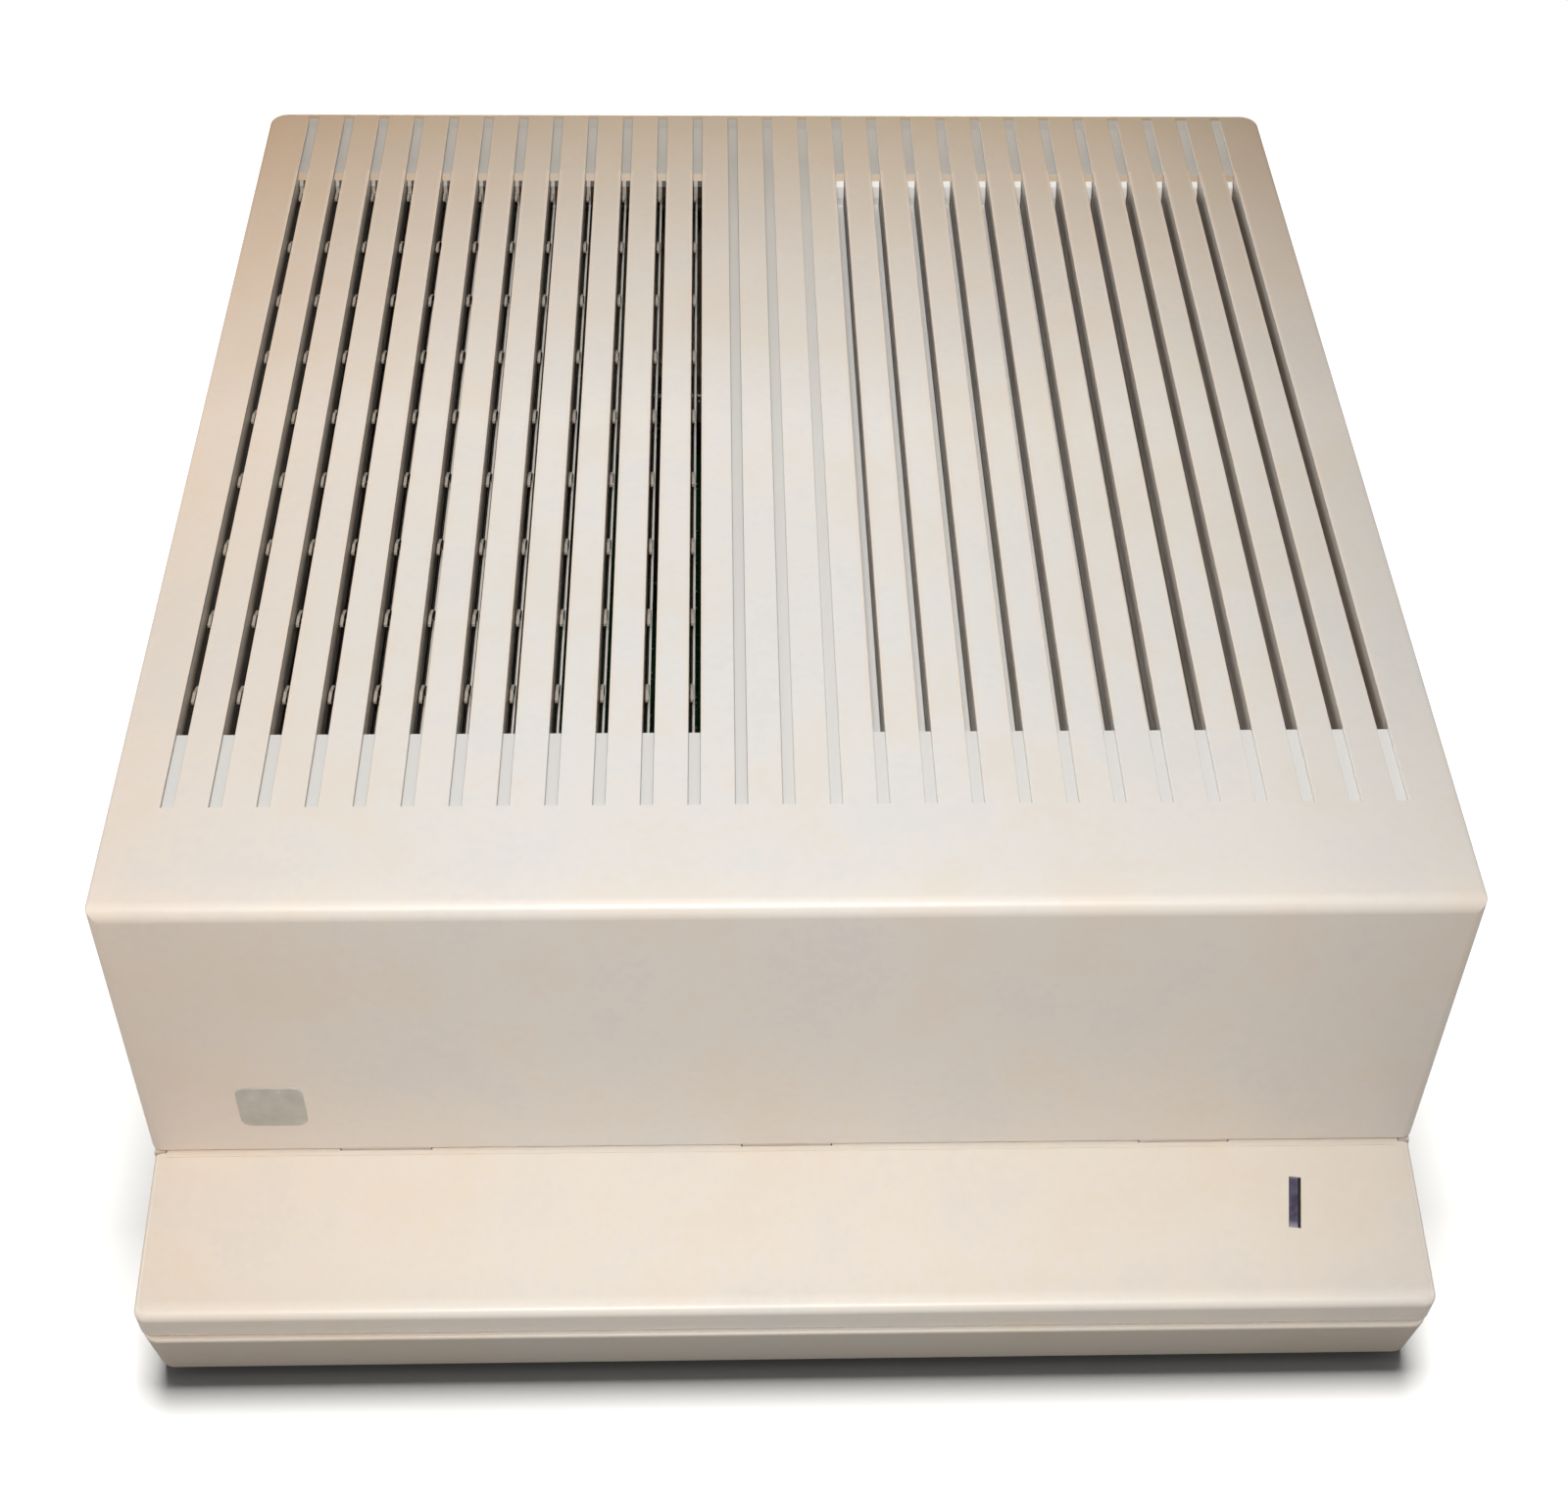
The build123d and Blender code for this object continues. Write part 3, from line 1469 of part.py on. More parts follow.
# --- Headers, plugs and leads ---
def power_header():
    half_w, half_l = header_depth / 2 + header_wall, header_pin_count * header_pitch / 2 + header_wall
    low = (header_x - half_w, header_y - half_l, board_top)
    body = block(low, (header_x + half_w, header_y + half_l, board_top + header_height))
    low = (header_x - header_depth / 2, header_y - half_l + header_wall, board_top + header_seat)
    high = (header_x + header_depth / 2, header_y + half_l - header_wall, board_top + header_height + 1)
    return body - block(low, high)


def harness_plug():
    gap = sheet_gap / 2
    half_w, half_l = header_depth / 2 - gap, header_pin_count * header_pitch / 2 - gap
    low = (header_x - half_w, header_y - half_l, board_top + header_seat)
    body = block(low, (header_x + half_w, header_y + half_l, board_top + header_seat + plug_height))
    return chamfer(body.faces().sort_by(Axis.Z)[-1].edges(), plug_edge)


def lead_header_xs():
    # one header near the speaker and one near the lamp
    return board_left + lead_header_margin, board_right - lead_header_margin


def lead_headers():
    half_w, half_d = lead_header_width / 2, lead_header_depth / 2
    shapes = []
    for x in lead_header_xs():
        low = (x - half_w, lead_header_y - half_d, board_top)
        shapes.append(block(low, (x + half_w, lead_header_y + half_d, board_top + lead_header_height)))
    return shapes


def lead_plugs():
    half_w, half_d = lead_header_width / 2, lead_header_depth / 2
    low_z = board_top + lead_header_height
    plugs = []
    for x in lead_header_xs():
        body = block(
            (x - half_w, lead_header_y - half_d, low_z),
            (x + half_w, lead_header_y + half_d, low_z + lead_plug_height),
        )
        plugs.append(chamfer(body.faces().sort_by(Axis.Z)[-1].edges(), plug_edge))
    return plugs


def grommet_place():
    return supply_right - 3 * harness_r - sheet, supply_z + grommet_rise


def power_harness():
    x, z = grommet_place()
    plug_top = board_top + header_seat + plug_height
    start = (x, supply_front_y - sheet_gap, z)
    points = [
        start,
        (x + 1, supply_front_y - 16, z + 1),
        (x + 9, supply_front_y - 28, z + 1),
        (header_x - 3, header_y - 6, z - 1),
        (header_x, header_y, z - 9),
        (header_x, header_y, plug_top),
    ]
    return lead("power_harness", points, harness_r)


def speaker_lead():
    x = lead_header_xs()[0]
    magnet_top = floor_z + speaker_depth + speaker_flange_thickness + magnet_height
    plug_top = board_top + lead_header_height + lead_plug_height
    points = [
        (speaker_x, speaker_y, magnet_top),
        (speaker_x, speaker_y, magnet_top + 10),
        (speaker_x + 12, speaker_y - 2, magnet_top + 15),
        (x - 12, lead_header_y - 1, plug_top + 17),
        (x, lead_header_y, plug_top + 11),
        (x, lead_header_y, plug_top),
    ]
    return lead("speaker_lead", points, lead_r)


def lamp_lead():
    x = lead_header_xs()[1]
    plug_top = board_top + lead_header_height + lead_plug_height
    place = window_plane()
    foot = place.from_local_coords(Vector(0, 0, -ledge_skin - window_flange - lamp_height))
    below = place.from_local_coords(Vector(0, 0, -ledge_skin - window_flange - lamp_height - 6))
    points = [
        tuple(foot),
        tuple(below),
        (foot.X - 3, foot.Y + 12, floor_z + 4),
        (x + 2, lead_header_y - 16, floor_z + 6),
        (x, lead_header_y - 6, plug_top + 6),
        (x, lead_header_y, plug_top + 8),
        (x, lead_header_y, plug_top),
    ]
    return lead("lamp_lead", points, lead_r)


# --- Ports ---
def port_places():
    places = {}
    x = board_right - port_margin
    for name, width, contacts in port_order:
        places[name] = (x - width / 2, width, contacts)
        x -= width + port_gap
    return places


port_place = port_places()
screw_half = {name: port_place[name][1] / 2 - port_screw_overhang for name in flanged_ports}


def shell_width(name):
    return port_place[name][1] - flange_margin


def shell_outline(x, width, height):
    # the upright D shape: a little wider at the top than at the bottom
    face = Plane(origin=(x, 0, port_z), x_dir=(1, 0, 0), z_dir=(0, -1, 0))
    half_h = height / 2
    lean = height * tan(radians(shell_lean_degrees))
    corners = [
        (-width / 2, half_h),
        (width / 2, half_h),
        (width / 2 - lean, -half_h),
        (-width / 2 + lean, -half_h),
    ]
    outline = make_face(Polyline(*corners, close=True))
    outline = fillet(outline.vertices(), shell_corner_r)
    return face * outline


def shell_prism(x, width, height, y_low, y_high):
    return Pos(0, y_high, 0) * extrude(shell_outline(x, width, height), y_high - y_low)


def flanged_port(name):
    x, width, contacts = port_place[name]
    mouth = shield_rear_y + port_reach
    shell = shell_width(name)
    body_half, half_h = shell / 2 + port_body_margin, port_flange_height / 2
    low = (x - body_half, port_body_front_y, board_top)
    body = block(low, (x + body_half, shield_front_y, board_top + port_body_height))
    low = (x - width / 2, shield_front_y - port_flange_thickness, port_z - half_h)
    body += block(low, (x + width / 2, shield_front_y, port_z + half_h))
    body += shell_prism(x, shell, shell_height, shield_front_y, mouth)
    # a narrow groove between the shell and its insert
    rim_y = mouth - shell_rim_depth
    inner, core = 2 * shell_wall, 4 * shell_wall
    body -= shell_prism(x, shell - inner, shell_height - inner, rim_y, mouth + 1)
    body += shell_prism(x, shell - core, shell_height - core, rim_y - 1, mouth - piece_gap)
    upper = (contacts + 1) // 2
    cuts = []
    for row, count in ((1, upper), (-1, contacts - upper)):
        for i in range(count):
            pin_x = x + (i - (count - 1) / 2) * contact_pitch
            mouth_point = (pin_x, mouth, port_z + row * contact_row_gap / 2)
            cuts.append(rod(mouth_point, (0, -1, 0), contact_r, contact_depth))
    hole_length = port_flange_thickness + 2
    for side in (-1, 1):
        hole_start = (x + side * screw_half[name], shield_front_y + 1, port_z)
        cuts.append(rod(hole_start, (0, -1, 0), jack_shank_r + screw_clearance, hole_length))
    return body - cuts


def round_port(name):
    x, width, contacts = port_place[name]
    mouth = shield_rear_y + port_reach / 2
    half_h = port_flange_height / 2
    low = (x - width / 2, port_body_front_y, board_top)
    body = block(low, (x + width / 2, shield_front_y, port_z + half_h))
    start = (x, shield_front_y - 1, port_z)
    body += rod(start, (0, 1, 0), round_port_r + round_port_wall, mouth - shield_front_y + 1)
    groove = rod((x, mouth, port_z), (0, -1, 0), round_port_r, round_port_groove_depth)
    body -= groove - rod((x, mouth, port_z), (0, -1, 0), round_port_core_r, round_port_groove_depth)
    cuts = []
    for i in range(contacts):
        angle = radians(360 / contacts * (i + 0.5))
        pin_x = x + round_port_pin_ring_r * sin(angle)
        pin_z = port_z + round_port_pin_ring_r * cos(angle)
        cuts.append(rod((pin_x, mouth, pin_z), (0, -1, 0), contact_r, contact_depth))
    key_w, key_h = round_port_key_width / 2, round_port_key_height / 2
    key = block((x - key_w, mouth - contact_depth, port_z - key_h), (x + key_w, mouth + 1, port_z + key_h))
    return body - cuts - key


def headphone_jack():
    x, width, _ = port_place["headphone_jack"]
    half_h = port_flange_height / 2
    mouth = shield_rear_y + jack_reach
    body = block(
        (x - width / 2, port_body_front_y, board_top), (x + width / 2, shield_front_y, port_z + half_h)
    )
    body += rod((x, shield_front_y - 1, port_z), (0, 1, 0), jack_collar_r, mouth - shield_front_y + 1)
    return body - rod((x, mouth, port_z), (0, -1, 0), jack_bore_r, port_body_depth)


def video_jack():
    x, width, _ = port_place["video_jack"]
    half_h = port_flange_height / 2
    mouth = shield_rear_y + phono_reach
    body = block(
        (x - width / 2, port_body_front_y, board_top), (x + width / 2, shield_front_y, port_z + half_h)
    )
    body += rod((x, shield_front_y - 1, port_z), (0, 1, 0), phono_r, mouth - shield_front_y + 1)
    return body - rod((x, mouth, port_z), (0, -1, 0), phono_bore_r, phono_bore_depth)


def port_shield():
    low_x, high_x = board_left + port_margin - shield_margin / 2, board_right
    plate = block((low_x, shield_front_y, floor_z), (high_x, shield_rear_y, floor_z + shield_height))
    cuts = []
    for name, (x, width, contacts) in port_place.items():
        low_y, high_y = shield_front_y - 1, shield_rear_y + 1
        if name in flanged_ports:
            gap = 2 * port_hole_gap
            cuts.append(shell_prism(x, shell_width(name) + gap, shell_height + gap, low_y, high_y))
            for side in (-1, 1):
                hole_x = x + side * screw_half[name]
                cuts.append(
                    rod(
                        (hole_x, low_y, port_z),
                        (0, 1, 0),
                        jack_shank_r + screw_clearance,
                        shield_thickness + 2,
                    )
                )
        else:
            hole_r = {"headphone_jack": jack_collar_r, "video_jack": phono_r}.get(
                name, round_port_r + round_port_wall
            )
            cuts.append(rod((x, low_y, port_z), (0, 1, 0), hole_r + port_hole_gap, shield_thickness + 2))
    return plate - cuts


def jack_screws():
    # six-sided posts that hold the shield to the connectors, tapped for a plug's screws
    screws = []
    for name in flanged_ports:
        for side in (-1, 1):
            x = port_place[name][0] + side * screw_half[name]
            face = Plane(origin=(x, shield_rear_y, port_z), x_dir=(1, 0, 0), z_dir=(0, 1, 0))
            post = extrude(face * RegularPolygon(jack_screw_r, 6), jack_screw_length)
            post += rod(
                (x, shield_rear_y, port_z),
                (0, -1, 0),
                jack_shank_r,
                shield_thickness + port_flange_thickness + 2,
            )
            mouth = shield_rear_y + jack_screw_length
            screws.append(post - rod((x, mouth, port_z), (0, -1, 0), jack_bore, jack_bore_depth))
    return screws


def expansion_covers():
    # blanking plugs in the openings behind the card connectors
    covers = []
    z = blank_bottom + cover_opening_height / 2
    for x in slot_xs:
        width, height = cover_opening_width - 2 * sheet_gap, cover_opening_height - 2 * sheet_gap
        plug = block(
            (x - width / 2, rear_face_y - blank_depth, z - height / 2),
            (x + width / 2, rear_face_y, z + height / 2),
        )
        inner_w, inner_h = width / 2 - blank_wall, height / 2 - blank_wall
        plug -= block(
            (x - inner_w, rear_face_y - blank_depth - 1, z - inner_h),
            (x + inner_w, rear_face_y, z + inner_h),
        )
        face = rounded_tile(
            x,
            z,
            width + 2 * blank_rim,
            height + 2 * blank_rim,
            blank_rim,
            rear_face_y,
            rear_face_y + blank_thickness,
        )
        covers.append(plug + face)
    return covers


# --- Speaker ---
def turned(points):
    # a ring turned from an outline of (radius, height) points, standing on the speaker's centre
    outline = make_face(Polyline(*[(r, 0, z) for r, z in points], close=True))
    return Pos(speaker_x, speaker_y, floor_z) * revolve(outline, Axis.Z)


def speaker_frame():
    mouth_r = speaker_r - speaker_lip
    top = speaker_depth + speaker_flange_thickness
    wall = speaker_flange_thickness
    points = [
        (mouth_r, 0),
        (speaker_r, 0),
        (speaker_r, speaker_flange_thickness),
        (mouth_r + wall, speaker_flange_thickness),
        (speaker_throat_r, top),
        (0, top),
        (0, top - wall),
        (speaker_throat_r - wall, top - wall),
        (mouth_r, speaker_flange_thickness),
    ]
    return turned(points)


def speaker_magnet():
    z = floor_z + speaker_depth + speaker_flange_thickness
    magnet = rod((speaker_x, speaker_y, z), (0, 0, 1), magnet_r, magnet_height)
    return chamfer(magnet.edges().sort_by(Axis.Z)[-1], 0.8)


def speaker_cone():
    mouth_r = speaker_r - speaker_lip
    hub_z = speaker_depth * 0.6
    points = [
        (mouth_r, 0),
        (mouth_r, cone_thickness),
        (mouth_r - 2, cone_thickness),
        (cone_hub_r, hub_z + cone_thickness),
        (0, hub_z - 1 + cone_thickness),
        (0, hub_z - 1),
        (cone_hub_r, hub_z),
        (mouth_r - 2, 0),
    ]
    return turned(points)


trough_pattern = open_slot_trough()

write("top_cover", top_cover())
write("badge_plate", badge_plate())
write("cover_latch_left", cover_latch(latch_xs[0]))
write("cover_latch_right", cover_latch(latch_xs[1]))
write("base_pan", base_pan())
write_group("rubber_feet", rubber_feet())
write("front_ledge", front_ledge())
write("power_light_window", power_light_window())
write("power_lamp", power_lamp())
write_group("pan_screws", pan_screws())

write("supply_case", supply_case())
write("supply_cover", supply_cover())
write_group("supply_rivets", supply_rivets())
write("supply_board", supply_board())
write("supply_transformer", supply_transformer())
write_group("supply_capacitors", supply_capacitors())
write_group("supply_heatsinks", supply_heatsinks())
write("mains_inlet", mains_inlet())
write_group("mains_pins", mains_pins())
write("switch_frame", switch_frame())
write("power_rocker", power_rocker())

write("logic_board", logic_board())
write_group("board_screws", board_screws())
for number, slot_x in enumerate(slot_xs, 1):
    write(f"card_connector_{number}", edge_connector(slot_x, slot_front_y, slot_length, slot_body_width))
write("memory_connector", memory_connector())
write("processor", processor())
write_group("rom_chips", rom_chips())
write_group("custom_chips", custom_chips())
write_group("memory_chips", memory_chips())
write_group("logic_chips", logic_chips())
write("clock_battery", clock_battery())
write_group("board_capacitors", board_capacitors())
write("power_header", power_header())
write("harness_plug", harness_plug())
write_group("lead_headers", lead_headers())
write_group("lead_plugs", lead_plugs())
write("power_harness", power_harness())
write("speaker_lead", speaker_lead())
write("lamp_lead", lamp_lead())

for port in flanged_ports:
    write(port, flanged_port(port))
for port in round_ports:
    write(port, round_port(port))
write("headphone_jack", headphone_jack())
write("video_jack", video_jack())
write("port_shield", port_shield())
write_group("jack_screws", jack_screws())
write_group("expansion_covers", expansion_covers())

write("speaker_frame", speaker_frame())
write("speaker_magnet", speaker_magnet())
write("speaker_cone", speaker_cone())
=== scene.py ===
import math
import bmesh
import bpy
from mathutils import Matrix, Vector


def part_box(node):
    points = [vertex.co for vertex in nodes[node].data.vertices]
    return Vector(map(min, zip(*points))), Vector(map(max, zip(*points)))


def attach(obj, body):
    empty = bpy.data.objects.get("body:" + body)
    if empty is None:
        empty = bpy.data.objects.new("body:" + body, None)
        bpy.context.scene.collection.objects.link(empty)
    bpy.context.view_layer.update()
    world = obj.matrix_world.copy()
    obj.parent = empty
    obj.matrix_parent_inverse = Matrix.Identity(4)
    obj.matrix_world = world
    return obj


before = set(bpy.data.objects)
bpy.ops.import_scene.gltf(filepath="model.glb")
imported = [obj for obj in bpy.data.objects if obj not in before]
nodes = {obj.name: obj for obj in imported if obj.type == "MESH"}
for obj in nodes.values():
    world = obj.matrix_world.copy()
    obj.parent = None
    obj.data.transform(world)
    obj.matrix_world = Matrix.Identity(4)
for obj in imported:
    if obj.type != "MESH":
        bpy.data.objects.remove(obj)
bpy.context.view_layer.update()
print("frame loaded:", len(nodes), "nodes")


def linear(hexText):
    # an sRGB hex colour as linear RGBA
    parts = [int(hexText[i:i + 2], 16) / 255 for i in (1, 3, 5)]
    return [c / 12.92 if c <= 0.04045 else ((c + 0.055) / 1.055) ** 2.4 for c in parts] + [1.0]


def addNode(tree, kind, inputs=None, stops=None, **settings):
    # a node with its settings, a shader's by its short name; inputs go by name or in order, and each is
    # a plain value, a hex colour, the socket that feeds it, or a node whose first output does; stops are
    # a colour ramp's
    made = tree.nodes.new(kind if "Node" in kind else "ShaderNode" + kind)
    for key, value in settings.items():
        setattr(made, key, value)
    for key, value in inputs.items() if isinstance(inputs, dict) else enumerate(inputs or []):
        socket = made.inputs[key]
        value = linear(value) if isinstance(value, str) else value
        value = value.outputs[0] if isinstance(value, bpy.types.Node) else value
        if isinstance(value, bpy.types.NodeSocket):
            tree.links.new(value, socket)
        else:
            socket.default_value = value
    if stops:
        marks = made.color_ramp.elements
        while len(marks) < len(stops):
            marks.new(0.5)
        for mark, (place, hexText) in zip(marks, stops):
            mark.position = place
            mark.color = linear(hexText)
    return made


def startMaterial(name):
    mat = bpy.data.materials.new(name)
    mat.use_nodes = True
    mat.node_tree.nodes.clear()
    return mat, mat.node_tree, addNode(mat.node_tree, "TexCoord").outputs["Object"]


def layered(tree, colour, layers):
    # colours laid over one another, each where its mask is 1
    for mask, over in layers:
        colour = addNode(tree, "MixRGB", {"Fac": mask, "Color1": colour, "Color2": over})
    return colour


# the camera: where the eye stands, how it leans, and how far the frame is shifted
camera = {
    "place": (-0.01403, -0.4746, 0.48845),
    "pitch": 0.791, "yaw": 0.044, "roll": 0.0253,
    "lens": 57.13, "sensor": 36.0,
    "shift": (-0.0099, 0.0372),
}


def makeCamera():
    pitch, yaw, roll = camera["pitch"], camera["yaw"], camera["roll"]
    level = math.cos(pitch)
    forward = Vector((math.sin(yaw) * level, math.cos(yaw) * level, -math.sin(pitch)))
    right = Vector((math.cos(yaw), -math.sin(yaw), 0))
    up = right.cross(forward)
    rolledRight = math.cos(roll) * right + math.sin(roll) * up
    rolledUp = -math.sin(roll) * right + math.cos(roll) * up
    data = bpy.data.cameras.new("camera")
    data.lens = camera["lens"]
    data.sensor_width = camera["sensor"]
    data.shift_x, data.shift_y = camera["shift"]
    data.clip_end = 20
    obj = bpy.data.objects.new("camera", data)
    turn = Matrix((rolledRight, rolledUp, -forward)).transposed()
    obj.matrix_world = Matrix.Translation(camera["place"]) @ turn.to_4x4()
    bpy.context.scene.collection.objects.link(obj)
    bpy.context.scene.camera = obj


makeCamera()
bpy.context.scene.view_settings.view_transform = "Standard"
print("camera placed")

# the studio: a small softbox close above the eye, a broad one overhead, low ones at the sides and the
# rear, a dim white room, and a high lamp for the floor alone, which keeps the object's shadow small
studio = {
    "roomStrength": 0.22,
    "roomInGloss": 0.35,
    "aim": (0.0, -0.02, 0.1),
    "colour": "#fffefb",
    "front": {"place": (-0.03, -0.55, 0.75), "size": (0.22, 0.14), "power": 4.3, "floor": "EXCLUDE"},
    "overhead": {"place": (0.0, -0.1, 1.7), "size": (0.4, 0.9), "power": 3.8, "floor": "EXCLUDE"},
    "left": {"place": (-1.5, 0.1, 0.25), "size": (0.7, 0.5), "power": 6.5, "floor": "EXCLUDE"},
    "right": {"place": (1.5, 0.1, 0.25), "size": (0.7, 0.5), "power": 5.0, "floor": "EXCLUDE"},
    "rear": {"place": (0.0, 1.5, 0.3), "size": (1.0, 0.4), "power": 8.0, "floor": "EXCLUDE"},
    "above": {"place": (0.0, 0.25, 3.0), "size": (1.2, 1.2), "power": 290.0, "floor": "INCLUDE"},
}


def makeWorld():
    world = bpy.data.worlds.new("studio")
    bpy.context.scene.world = world
    world.use_nodes = True
    tree = world.node_tree
    tree.nodes.clear()
    path = addNode(tree, "LightPath")
    soft = addNode(tree, "Background", {"Color": "#ffffff", "Strength": studio["roomStrength"]})
    plain = addNode(tree, "Background", {"Color": "#ffffff", "Strength": 1.0})
    seen = path.outputs["Is Camera Ray"]
    for name in ("Is Glossy Ray", "Is Transmission Ray"):
        inputs = [path.outputs[name], studio["roomInGloss"]]
        half = addNode(tree, "Math", inputs, operation="MULTIPLY")
        seen = addNode(tree, "Math", [seen, half], operation="MAXIMUM")
    mixed = addNode(tree, "MixShader", [seen, soft, plain])
    addNode(tree, "OutputWorld", {"Surface": mixed})


def makeSoftbox(name, floor):
    # each lamp lights either the floor alone or everything but the floor
    lamp = studio[name]
    data = bpy.data.lights.new(name + "Softbox", "AREA")
    data.shape = "RECTANGLE"
    data.size, data.size_y = lamp["size"]
    data.energy = lamp["power"]
    data.color = linear(studio["colour"])[:3]
    obj = bpy.data.objects.new(name + "Softbox", data)
    obj.location = lamp["place"]
    obj.rotation_euler = (Vector(studio["aim"]) - Vector(lamp["place"])).to_track_quat("-Z", "Y").to_euler()
    obj.visible_camera = False
    bpy.context.scene.collection.objects.link(obj)
    lit = bpy.data.collections.new(name + "Lit")
    lit.objects.link(floor)
    lit.collection_objects[0].light_linking.link_state = lamp["floor"]
    obj.light_linking.receiver_collection = lit


# near the object the floor is lit, and further out it is plain white; only the camera sees it this bright
floorSpec = {"half": 1.6, "colour": "#5e5c5a", "seenAs": 0.4, "litWithin": 0.27, "whiteBeyond": 0.5}


def makeFloor():
    half = floorSpec["half"]
    mesh = bpy.data.meshes.new("floor")
    corners = [(-half, -half, 0), (half, -half, 0), (half, half, 0), (-half, half, 0)]
    mesh.from_pydata(corners, [], [(0, 1, 2, 3)])
    floor = bpy.data.objects.new("floor", mesh)
    bpy.context.scene.collection.objects.link(floor)
    mat, tree, place = startMaterial("paleFloor")
    path = addNode(tree, "LightPath")
    away = addNode(tree, "VectorMath", [place], operation="LENGTH")
    inputs = [away.outputs["Value"], floorSpec["litWithin"], floorSpec["whiteBeyond"]]
    far = addNode(tree, "MapRange", inputs, interpolation_type="SMOOTHSTEP")
    seen = path.outputs["Is Camera Ray"]
    tone = layered(tree, floorSpec["colour"], [(seen, [floorSpec["seenAs"]] * 3 + [1.0])])
    paint = addNode(tree, "BsdfDiffuse", {"Color": tone})
    glow = addNode(tree, "Emission", {"Color": "#ffffff", "Strength": 1.0})
    clear = addNode(tree, "Math", [seen, far], operation="MULTIPLY")
    both = addNode(tree, "MixShader", [clear, paint, glow])
    addNode(tree, "OutputMaterial", {"Surface": both})
    mesh.materials.append(mat)
    return floor


makeWorld()
paleFloor = makeFloor()
for name in ("front", "overhead", "left", "right", "rear", "above"):
    makeSoftbox(name, paleFloor)
print("studio lit")


def makeMaterial(name, finish, spec):
    # a finish gives the shader's inputs, from a place and from the sizes and tones in spec
    mat, tree, place = startMaterial(name)
    shader = addNode(tree, "BsdfPrincipled", finish(tree, place, spec))
    addNode(tree, "OutputMaterial", {"Surface": shader})
    return mat


def dress(held, name, finish, spec):
    # one material for every node in held
    made = makeMaterial(name, finish, spec)
    for node in held:
        for slot in nodes[node].material_slots:
            slot.material = made
    print(name, "on", *held)


def boxMm(name):
    # a node's lowest and highest corners in millimetres
    return [[c * 1000 for c in corner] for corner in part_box(name)]


marginMm = 1.0  # added where a box has to reach past a piece


def grownMm(name):
    # the same corners, with the margin added all round
    low, high = boxMm(name)
    return [c - marginMm for c in low], [c + marginMm for c in high]


noiseSpan = (0.3, 0.7)  # where nearly all of a noise's values lie


def fineGrain(tree, place, grainMm, depthMm, strength=0.4):
    # the small bumps that an etched mould, a rolled sheet or a paper leaves
    grain = addNode(tree, "TexNoise", {"Vector": place, "Scale": 1000 / grainMm, "Detail": 2.0})
    return addNode(tree, "Bump", {"Height": grain, "Strength": strength, "Distance": depthMm / 1000})


def insideBox(tree, place, low, high):
    # 1 inside the box between two corners in millimetres, and 0 outside it
    middle = [(a + b) / 2000 for a, b in zip(low, high)]
    half = [(b - a) / 2000 for a, b in zip(low, high)]
    off = addNode(tree, "VectorMath", [place, middle], operation="SUBTRACT")
    far = addNode(tree, "VectorMath", [off], operation="ABSOLUTE")
    past = addNode(tree, "VectorMath", [far, half], operation="SUBTRACT")
    x, y, z = addNode(tree, "SeparateXYZ", [past]).outputs
    side = addNode(tree, "Math", [x, y], operation="MAXIMUM")
    most = addNode(tree, "Math", [side, z], operation="MAXIMUM")
    return addNode(tree, "Math", [most, 0.0], operation="LESS_THAN")


def insideRod(tree, place, centre, radius):
    # 1 near a line that runs from front to back through a point in millimetres
    off = addNode(tree, "VectorMath", [place, [c / 1000 for c in centre]], operation="SUBTRACT")
    across = addNode(tree, "VectorMath", [off, (1.0, 0.0, 1.0)], operation="MULTIPLY")
    away = addNode(tree, "VectorMath", [across], operation="LENGTH").outputs["Value"]
    return addNode(tree, "Math", [away, radius / 1000], operation="LESS_THAN")


def joinFinishes(tree, mask, outer, inner):
    # the inner finish where the mask is 1, and the outer one elsewhere
    joined = dict(outer)
    joined["Base Color"] = layered(tree, outer["Base Color"], [(mask, inner["Base Color"])])
    for key in ("Metallic", "Roughness"):
        joined[key] = addNode(tree, "Mix", {0: mask, 2: outer.get(key, 0.0), 3: inner.get(key, 0.0)})
    return joined


# the case: ABS moulded in an etched tool, so a soft broad sheen over a fine grain; light has yellowed
# it towards the rear and the left, but not inside the grooves; its darkening towards the rear is also
# painted shade, its right side is painted darker as painted shade, and the slots carry painted shade
# and painted highlights
caseFinish = {
    "cloudMm": 26.0,
    "fleckMm": 2.4,
    "fleckShare": 0.35,
    "tints": [(0.38, "#fffcf8"), (0.5, "#ffffff"), (0.62, "#fbfcfe")],
    "grainMm": 0.55, "grainDepthMm": 0.02,
    "roughness": (0.34, 0.42),
    # ranges: a measure at two ends, and what it gives there
    "back": (-0.174, 0.174, 0.0, 1.0),
    "over": (-0.1425, 0.1425, 0.0, 1.0),
    "yellowAndShadeShare": (-0.174, 0.0, 0.42, 1.0),  # the sides' yellowing and their painted shade weaken towards the front
    # across the lid: yellowed at the left, and painted darker at the right as painted shade of the light's
    # falloff
    "across": [
        (0.0, "#fff0e2"), (0.16, "#fffaf5"), (0.32, "#ffffff"),
        (0.58, "#ffffff"), (0.84, "#f7f5f2"), (1.0, "#e2deda"),
    ],
}


